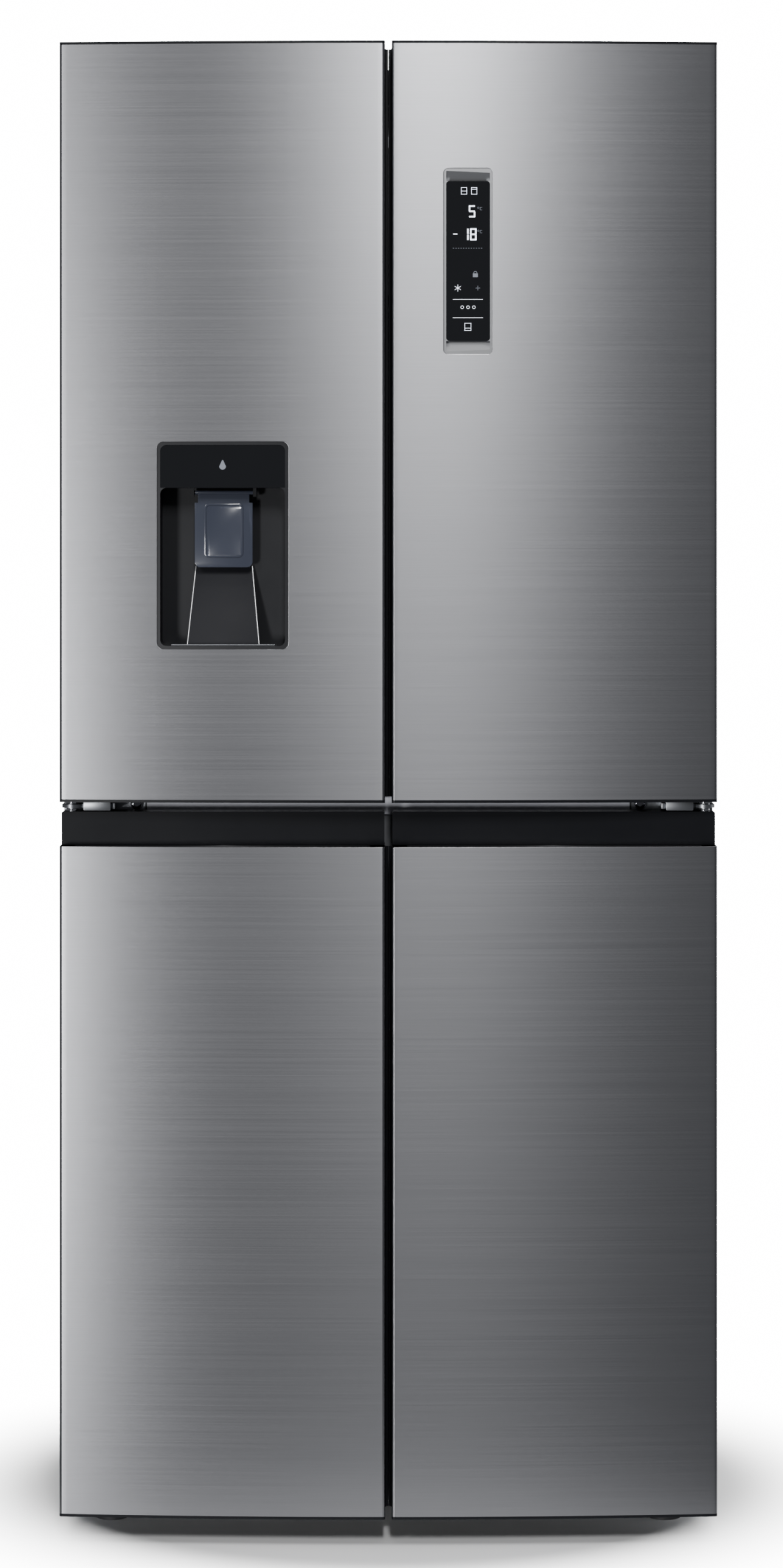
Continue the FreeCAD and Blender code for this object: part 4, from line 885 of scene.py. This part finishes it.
class FRIDGE_OT_dispenser(bpy.types.Operator):
    """Model the dispenser's rim, ramp, drip grid, paddle and droplet, and darken its recess"""

    bl_idname = "fridge.dispenser"
    bl_label = "Dispenser"

    def execute(self, context):
        frame["nodes"]["dispenser_housing"].data.materials.clear()
        frame["nodes"]["dispenser_housing"].data.materials.append(FINISHES["recess"])
        low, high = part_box("dispenser_housing")
        panel_low, panel_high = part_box("dispenser_panel")
        self.rim(low, high)
        self.ramp(low, high, panel_low)
        self.paddle()
        self.droplet(panel_low, panel_high)
        return {"FINISHED"}

    def rim(self, low, high):
        """A thin bright frame that follows the bowed door."""
        back = low[1] + RIM_DEPTH
        outer = bowed_block("dispenser_rim", low[0], high[0], low[2], high[2], back, 12, -RIM_PROUD)
        bevel_edges(outer, lambda e: along(e, 1), DISPENSER_CORNER, FINE_SEGMENTS)
        hole = block(
            "hole",
            (low[0] + RIM_WIDTH, low[1] - 30 * MM, low[2] + RIM_WIDTH),
            (high[0] - RIM_WIDTH, high[1], high[2] - RIM_WIDTH),
            1,
            RIM_HOLE_CORNER,
            FINE_SEGMENTS,
        )
        cut(outer, hole)
        soften(outer, 0.2 * MM)
        even_shading(outer)
        place(outer, "upper_left_door", FINISHES["rim"])

    def ramp(self, low, high, panel_low):
        """The flared slope at the bottom of the recess, with a painted highlight along each side (a thin bright
        bar where its edges would catch the light), and its grid.
        """
        middle = (low[0] + high[0]) / 2
        bottom = low[2] + RECESS_FLOOR
        back = high[1] - RECESS_WALL
        front = low[1] + RIM_DEPTH
        foot = front - back + FOOT_SET_BACK
        top = panel_low[2] - RAMP_DROP
        start = (middle - RAMP_HALF, back - RAMP_THICK, bottom)
        slope = block("dispenser_ramp", start, (middle + RAMP_HALF, back, top))
        move_underside(slope, (0, foot, 0), RAMP_FLARE, (middle, back, bottom))
        bevel_edges(slope, lambda e: True, 0.7 * MM, 3)
        smooth(slope)
        place(slope, "upper_left_door", FINISHES["ramp"])
        # Painted highlight: a thin bright bar in the rim's finish along each side edge of the ramp.
        lines = []
        for side in (-1, 1):
            x = middle + side * RAMP_HALF
            start = (x - HIGHLIGHT_HALF, back - 4.2 * MM, bottom)
            line = block("line", start, (x + HIGHLIGHT_HALF, back - 2.5 * MM, top))
            move_underside(line, (side * HIGHLIGHT_SPREAD, foot, 0))
            bevel_edges(line, lambda e: True, 0.2 * MM, 2)
            lines.append(line)
        place(join("ramp_edges", lines), "upper_left_door", FINISHES["rim"])
        slats = []
        for n in range(SLATS):
            y = front + 1 * MM + n * SLAT_PITCH
            start = (middle - SLAT_HALF_LENGTH, y, bottom - 0.2 * MM)
            end = (middle + SLAT_HALF_LENGTH, y + SLAT_WIDTH, bottom + 1.2 * MM)
            slats.append(block("slat", start, end, 0, 0.3 * MM, 2))
        place(join("drip_grid", slats), "upper_left_door", FINISHES["plate"])

    def paddle(self):
        """A clear paddle with notched shoulders and a raised frame on its face."""
        low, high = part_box("dispenser_paddle")
        pin_z = high[2] - PADDLE_PIN_RADIUS
        middle_y = (low[1] + high[1]) / 2
        face = middle_y - PADDLE_HALF_THICK
        sides = (low[0] + PADDLE_EAR, high[0] - PADDLE_EAR)
        far = (sides[1], middle_y + PADDLE_HALF_THICK, pin_z)
        plate = block("paddle_plate", (sides[0], face, low[2]), far, 1, 7 * MM, 6)
        for edge in sides:
            notch = block(
                "notch",
                (edge - NOTCH_HALF, face - 5 * MM, pin_z - NOTCH_DROP),
                (edge + NOTCH_HALF, face + 9 * MM, pin_z + 1 * MM),
            )
            cut(plate, notch)

        def on_face(name, inset, front, back, radius):
            return block(
                name,
                (low[0] + FRAME_SIDE + inset, face - front, low[2] + FRAME_FOOT + inset),
                (high[0] - FRAME_SIDE - inset, face + back, pin_z - FRAME_TOP - inset),
                1,
                radius,
                6,
            )

        raised = on_face("raised", 0, 1.3 * MM, 0.4 * MM, 6 * MM)
        cut(raised, on_face("hollow", FRAME_WIDTH, 3 * MM, -0.1 * MM, 4.5 * MM))
        centre = ((low[0] + high[0]) / 2, middle_y, pin_z)
        pin = drum("pin", centre, PADDLE_PIN_RADIUS, high[0] - low[0], 0, 32, 0.3 * MM)
        soften(plate, 0.5 * MM, 3)
        soften(raised, 0.3 * MM)
        whole = smooth(join("clear_paddle", [plate, raised, pin]))
        place(whole, "dispenser_paddle", FINISHES["smoky"], ("dispenser_paddle",))

    def droplet(self, low, high):
        """A water drop on the black panel."""
        middle = (low[0] + high[0]) / 2
        height = (low[2] + high[2]) / 2
        face = front_y(middle) - 0.3 * MM
        clear_selection()
        bpy.ops.mesh.primitive_circle_add(
            vertices=28,
            radius=DROP_RADIUS,
            fill_type="NGON",
            location=(middle, face, height),
            rotation=(math.pi / 2, 0, 0),
        )
        drop = settle(bpy.context.object, "water_drop")
        for corner in drop.data.vertices:
            rise = (corner.co.z - height) / DROP_RADIUS
            if rise > 0:
                corner.co.z = height + DROP_RADIUS * rise * (1 + DROP_STRETCH * rise**2)
                corner.co.x = middle + (corner.co.x - middle) * (1 - DROP_PINCH * rise)
        with editing(drop):
            bpy.ops.mesh.select_all(action="SELECT")
            bpy.ops.mesh.extrude_region_move(TRANSFORM_OT_translate={"value": (0, 0.6 * MM, 0)})
            face_outwards()
        place(drop, "upper_left_door", FINISHES["dim"])


# ---- hinges


PIN_INSET = 12 * MM  # of the hinge axis from the plate's outer and front edges
WASHER_RADII = (7.0, 6.2, 6.6, 7.0)
WASHER_SHARE = 0.92  # of its place in the stack
WASHER_GAP = 0.3 * MM  # at both ends of the stack
BOX_START = 26 * MM
BOX_WIDTH = 33 * MM
BOX_GAP = 1.2 * MM
STRIP_REACH = 100 * MM  # from the cabinet's side to the strip's end
FLANGE_LENGTH = 98 * MM
FLANGE_SCREW_INSET = 10.5 * MM
SLOT_HALF_LENGTH = 3 * MM
SLOT_HALF_WIDTH = 0.6 * MM


class FRIDGE_OT_hinges(bpy.types.Operator):
    """Model the middle hinges' pins, boxed plates and screws as they show between the doors"""

    bl_idname = "fridge.hinges"
    bl_label = "Hinges"

    def execute(self, context):
        low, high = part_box("middle_hinges")
        cap_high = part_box("lower_left_end_caps")[1][2]
        door_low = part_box("upper_left_end_caps")[0][2]
        pin = (low[0] + PIN_INSET, low[1] + PIN_INSET)
        washers = []
        rise = (door_low - cap_high - 2 * WASHER_GAP) / len(WASHER_RADII)
        for n, radius in enumerate(WASHER_RADII):
            z = cap_high + WASHER_GAP + (n + 0.5) * rise
            washers.append(drum("washer", (*pin, z), radius * MM, rise * WASHER_SHARE, 2, 40, 0.5 * MM))
        place_both(smooth(join("hinge_pin_left", washers)), FINISHES["chrome"])
        self.bracket_box(low, high, cap_high, door_low)
        self.crossbar(low, high, cap_high, door_low)
        self.screw_heads(low, high)
        return {"FINISHED"}

    def bracket_box(self, low, high, cap_high, door_low):
        """A lighter pressed box over the hinge plate, and the lug beside it."""
        x0 = low[0] + BOX_START
        y0 = low[1] + 3 * MM
        back = high[1] - 3.2 * MM
        cover_end = (x0 + BOX_WIDTH, back, door_low - BOX_GAP)
        cover = block("cover", (x0, y0, cap_high + BOX_GAP), cover_end, 1, 1.2 * MM, 3)
        lug_start = (x0 + BOX_WIDTH + 0.5 * MM, y0 + 8 * MM, cap_high + 2.5 * MM)
        lug = block("lug", lug_start, (x0 + BOX_WIDTH + 5 * MM, back, door_low - 3 * MM), 1, 1 * MM, 3)
        both = smooth(soften(join("hinge_box_left", [cover, lug]), 0.5 * MM))
        place_both(both, FINISHES["plate"])

    def crossbar(self, low, high, cap_high, door_low):
        """The rolled strip on the beam between the two hinges, painted pale: its grey paint is lightened far past
        its own tone as painted light, in place of the light that does not reach into the gap.
        """
        strip = block(
            "crossbar_strip",
            (low[0] + STRIP_REACH, high[1] - 3 * MM, cap_high - 7 * MM),
            (high[0] - STRIP_REACH, high[1] - 0.1 * MM, door_low + 3 * MM),
            0,
            1.2 * MM,
            4,
        )
        # The strip's pale colour is painted light, standing in for light that does not reach the gap.
        place(smooth(strip), "cabinet", FINISHES["strip"])

    def screw_heads(self, low, high):
        """Domed screws with a cross slot in the hinge flanges."""
        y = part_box("hinge_screws")[0][1]
        x = low[0] + FLANGE_LENGTH - FLANGE_SCREW_INSET
        z = (low[2] + high[2]) / 2
        head = drum("head", (x, y + 0.2 * MM, z), 6.2 * MM, 4 * MM, 1, 40, 1.6 * MM)
        for wide, tall in ((SLOT_HALF_LENGTH, SLOT_HALF_WIDTH), (SLOT_HALF_WIDTH, SLOT_HALF_LENGTH)):
            end = (x + wide, y - 0.6 * MM, z + tall)
            cut(head, block("slot", (x - wide, y - 4 * MM, z - tall), end))
        smooth(head)
        head.name = "flange_screw_left"
        place_both(head, FINISHES["screw"])


# ---- interior


TRIM_WRAP = 2 * MM  # below and in front of a shelf
TRIM_DEPTH = 12 * MM
GRIP_INSET = 60 * MM
GRIP_LEVELS = (19 * MM, 28 * MM)  # down from a drawer's top
CEILING_GAP = 10 * MM  # from the air duct cover's top to the ceiling
LAMP_INSET = 30 * MM
LAMP_REACH = (50 * MM, 120 * MM)  # in front of the air duct cover


class FRIDGE_OT_interior(bpy.types.Operator):
    """Model the shelf trims, the drawer fronts and the lamp inside"""

    bl_idname = "fridge.interior"
    bl_label = "Interior"

    def execute(self, context):
        self.shelf_trims()
        self.drawer_fronts()
        self.lamp()
        return {"FINISHED"}

    def shelf_trims(self):
        """A rounded trim along the front of each glass shelf."""
        low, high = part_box("glass_shelves")
        corners = frame["nodes"]["glass_shelves"].data.vertices
        undersides = sorted({round(corner.co.z, 4) for corner in corners})[::2]
        trims = []
        tall = sizes().shelf_trim
        for level in undersides:
            z = level - TRIM_WRAP
            start = (low[0], low[1] - TRIM_WRAP, z)
            trims.append(block("trim", start, (high[0], low[1] + TRIM_DEPTH, z + tall), 0, 3 * MM, 4))
        place(smooth(join("shelf_trims", trims)), "cabinet", FINISHES["silver"])

    def drawer_fronts(self):
        """A clear front with a grip on each drawer and crisper."""
        for name in frame["nodes"]:
            if not name.startswith(("freezer_drawer", "crisper")):
                continue
            low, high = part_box(name)
            front = block(
                "front",
                (low[0] + 1 * MM, low[1] - 3 * MM, low[2] + 1 * MM),
                (high[0] - 1 * MM, low[1] - 0.2 * MM, high[2]),
                1,
                5 * MM,
            )
            grip = block(
                "grip",
                (low[0] + GRIP_INSET, low[1] - 9 * MM, high[2] - GRIP_LEVELS[1]),
                (high[0] - GRIP_INSET, low[1] - 2 * MM, high[2] - GRIP_LEVELS[0]),
                0,
                3 * MM,
            )
            piece = smooth(soften(join(name + "_front", [front, grip]), 0.6 * MM))
            place(piece, name, FINISHES["clear"])

    def lamp(self):
        """The lamp cover under the ceiling."""
        low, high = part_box("air_duct_cover")
        ceiling = high[2] + CEILING_GAP
        cover = block(
            "ceiling_lamp",
            (low[0] + LAMP_INSET, low[1] - LAMP_REACH[1], ceiling - 8 * MM),
            (high[0] - LAMP_INSET, low[1] - LAMP_REACH[0], ceiling - 0.2 * MM),
            None,
            3 * MM,
        )
        place(smooth(cover), "cabinet", FINISHES["lamp"])


# ---- back


PRESS_DEPTH = 0.6 * MM
PRESS_MARGIN = 60 * MM
PRESS_GAP = 40 * MM  # between the two pressed fields
PRESS_CORNER = 30 * MM
REAR_SCREW_STEPS = 6
REAR_SCREW_INSET = 14 * MM
FINS = 26
FINS_START = 90 * MM  # right of the middle, where the condenser begins
FIN_LEVELS = (6 * MM, 184 * MM)


class FRIDGE_OT_back(bpy.types.Operator):
    """Press the fields into the rear panel and set its screws and the condenser's fins"""

    bl_idname = "fridge.back"
    bl_label = "Back"

    def execute(self, context):
        low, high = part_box("rear_panel")
        self.pressed_panel(low, high)
        self.screws(low, high)
        self.condenser_fins()
        return {"FINISHED"}

    def pressed_panel(self, low, high):
        """The rear sheet with two shallow fields pressed into it."""
        sheet = block("pressed_rear_panel", low, high)
        middle = (low[2] + high[2]) / 2
        lower = (low[2] + PRESS_MARGIN, middle - PRESS_GAP / 2)
        upper = (middle + PRESS_GAP / 2, high[2] - PRESS_MARGIN)
        for bottom, top in (lower, upper):
            field = block(
                "field",
                (low[0] + PRESS_MARGIN, high[1] - PRESS_DEPTH, bottom),
                (high[0] - PRESS_MARGIN, high[1] + 5 * MM, top),
                1,
                PRESS_CORNER,
                FINE_SEGMENTS,
            )
            cut(sheet, field)
        even_shading(soften(sheet, 0.3 * MM))
        place(sheet, "cabinet", FINISHES["galvanised"], ("rear_panel",))

    def screws(self, low, high):
        """Flush screws along both sides of the rear panel."""
        heads = []
        run = high[2] - low[2] - 2 * REAR_SCREW_INSET
        for n in range(REAR_SCREW_STEPS + 1):
            z = low[2] + REAR_SCREW_INSET + n * run / REAR_SCREW_STEPS
            for x in (low[0] + REAR_SCREW_INSET, high[0] - REAR_SCREW_INSET):
                heads.append(drum("head", (x, high[1] - 0.7 * MM, z), 4 * MM, 1.4 * MM, 1, 24, 0.5 * MM))
        piece = smooth(join("rear_screws", heads))
        place(piece, "cabinet", FINISHES["screw"])

    def condenser_fins(self):
        """Fins that stand proud of the condenser block."""
        low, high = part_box("cooling_unit")
        bottom, top = (low[2] + level for level in FIN_LEVELS)
        fins = []
        for n in range(FINS):
            x = FINS_START + (n + 0.5) * (high[0] - FINS_START) / FINS
            fins.append(block("fin", (x - 0.5 * MM, low[1], bottom), (x + 0.5 * MM, high[1], top)))
        piece = join("condenser_fins", fins)
        place(piece, "cabinet", FINISHES["galvanised"])


# ---- stage


FLOOR_SIZE = 12
FLOOR_COLOUR = (0.86, 0.86, 0.86, 1)
FADE_FROM = 0.42  # distances from the middle between which the floor thins out
FADE_TO = 0.72
SURROUND_GLOW = 0.12  # what the surround gives as light
SURROUND_SEEN = 16.0  # what the camera sees of it
CAMERA_DISTANCE = 5.0
CAMERA_HEIGHT = 1.21


def area_light(name, place_at, aim, wide, tall, power):
    light = bpy.data.lights.new(name, "AREA")
    light.shape = "RECTANGLE"
    light.size = wide
    light.size_y = tall
    light.energy = power
    obj = bpy.data.objects.new(name, light)
    obj.location = place_at
    obj.rotation_euler = (Vector(aim) - Vector(place_at)).to_track_quat("-Z", "Y").to_euler()
    bpy.context.collection.objects.link(obj)


class FRIDGE_OT_stage(bpy.types.Operator):
    """Set the floor, the soft lights and the camera"""

    bl_idname = "fridge.stage"
    bl_label = "Stage"

    def execute(self, context):
        self.floor()
        self.world(context)
        self.lights()
        self.camera(context)
        return {"FINISHED"}

    def floor(self):
        """A pale floor that thins out into the white surround."""
        clear_selection()
        bpy.ops.mesh.primitive_plane_add(size=FLOOR_SIZE, location=(0, 0, 0))
        floor = bpy.context.object
        floor.name = "floor"
        paint, tree, shader, place_of = new_material("Pale floor")
        shader.inputs["Base Color"].default_value = FLOOR_COLOUR
        shader.inputs["Roughness"].default_value = 0.9
        reach = node(tree, "VectorMath", operation="LENGTH")
        fade = remap(tree, 1.0, 0.0)
        fade.interpolation_type = "SMOOTHSTEP"
        fade.inputs["From Min"].default_value = FADE_FROM
        fade.inputs["From Max"].default_value = FADE_TO
        wire(
            tree,
            (place_of, "Object", reach, 0),
            (reach, "Value", fade, "Value"),
            (fade, 0, shader, "Alpha"),
        )
        floor.data.materials.append(paint)

    def world(self, context):
        """A white surround behind the object that gives only a little light."""
        world = bpy.data.worlds.new("Studio")
        world.use_nodes = True
        tree = world.node_tree
        tree.nodes.clear()
        rays = tree.nodes.new("ShaderNodeLightPath")
        dim = node(tree, "Background", Color=(0.9, 0.93, 1.0, 1), Strength=SURROUND_GLOW)
        white = node(tree, "Background", Color=(1, 1, 1, 1), Strength=SURROUND_SEEN)
        mix = tree.nodes.new("ShaderNodeMixShader")
        out = tree.nodes.new("ShaderNodeOutputWorld")
        wire(
            tree,
            (rays, "Is Camera Ray", mix, 0),
            (dim, 0, mix, 1),
            (white, 0, mix, 2),
            (mix, 0, out, 0),
        )
        context.scene.world = world

    def lights(self):
        """Soft boxes in front, drawn out into upright bands by the brushing, fill behind, and a sky."""
        area_light("soft_box_middle", (0.26, -5.8, 4.2), (0.1, 0, 1.4), 0.42, 1.6, 190)
        area_light("soft_box_left", (-2.4, -5.0, 3.4), (0, 0, 1.2), 0.5, 1.6, 45)
        area_light("soft_box_low", (-2.0, -4.6, 0.35), (0, 0, 0.5), 0.5, 0.7, 105)
        area_light("back_fill", (2.5, 4.0, 3.2), (0, 0, 0.8), 2.5, 2.5, 60)
        area_light("side_fill", (4.2, 0.6, 2.0), (0, 0.3, 0.9), 2.0, 2.5, 35)
        sky = bpy.data.lights.new("sky_panel", "SUN")
        sky.energy = 3.4
        sky.angle = math.radians(70)
        overhead = bpy.data.objects.new("sky_panel", sky)
        overhead.rotation_euler = (math.radians(-8), math.radians(6), 0)
        bpy.context.collection.objects.link(overhead)

    def camera(self, context):
        data = bpy.data.cameras.new("camera")
        data.lens = 96.0
        data.sensor_width = 36
        data.shift_x = 0.002
        data.shift_y = -0.1596
        camera = bpy.data.objects.new("camera", data)
        camera.location = (0, CAD_BOX[0][1] - CAMERA_DISTANCE, CAMERA_HEIGHT)
        camera.rotation_euler = (math.pi / 2, 0, 0)
        context.collection.objects.link(camera)
        context.scene.camera = camera


OPERATORS = (
    FRIDGE_OT_finishes,
    FRIDGE_OT_door_skins,
    FRIDGE_OT_slot_seals,
    FRIDGE_OT_display,
    FRIDGE_OT_dispenser,
    FRIDGE_OT_hinges,
    FRIDGE_OT_interior,
    FRIDGE_OT_back,
    FRIDGE_OT_stage,
)


class FRIDGE_PT_panel(bpy.types.Panel):
    """The refrigerator's pieces, in the order in which they are made"""

    bl_idname = "FRIDGE_PT_panel"
    bl_label = "Refrigerator"
    bl_space_type = "VIEW_3D"
    bl_region_type = "UI"
    bl_category = "Refrigerator"

    def draw(self, context):
        for operator in OPERATORS:
            self.layout.operator(operator.bl_idname)
        for settings in (context.scene.fridge_sizes, context.scene.fridge_colours):
            for name in settings.__annotations__:
                self.layout.prop(settings, name)


CLASSES = (FridgeSizes, FridgeColours, *OPERATORS, FRIDGE_PT_panel)


def register():
    for made in CLASSES:
        bpy.utils.register_class(made)
    bpy.types.Scene.fridge_sizes = bpy.props.PointerProperty(type=FridgeSizes)
    bpy.types.Scene.fridge_colours = bpy.props.PointerProperty(type=FridgeColours)


def unregister():
    del bpy.types.Scene.fridge_colours
    del bpy.types.Scene.fridge_sizes
    for made in reversed(CLASSES):
        bpy.utils.unregister_class(made)


def main():
    register()
    for operator in OPERATORS:
        section, name = operator.bl_idname.split(".")
        getattr(getattr(bpy.ops, section), name)()
    bpy.context.view_layer.update()


if __name__ == "__main__":
    main()
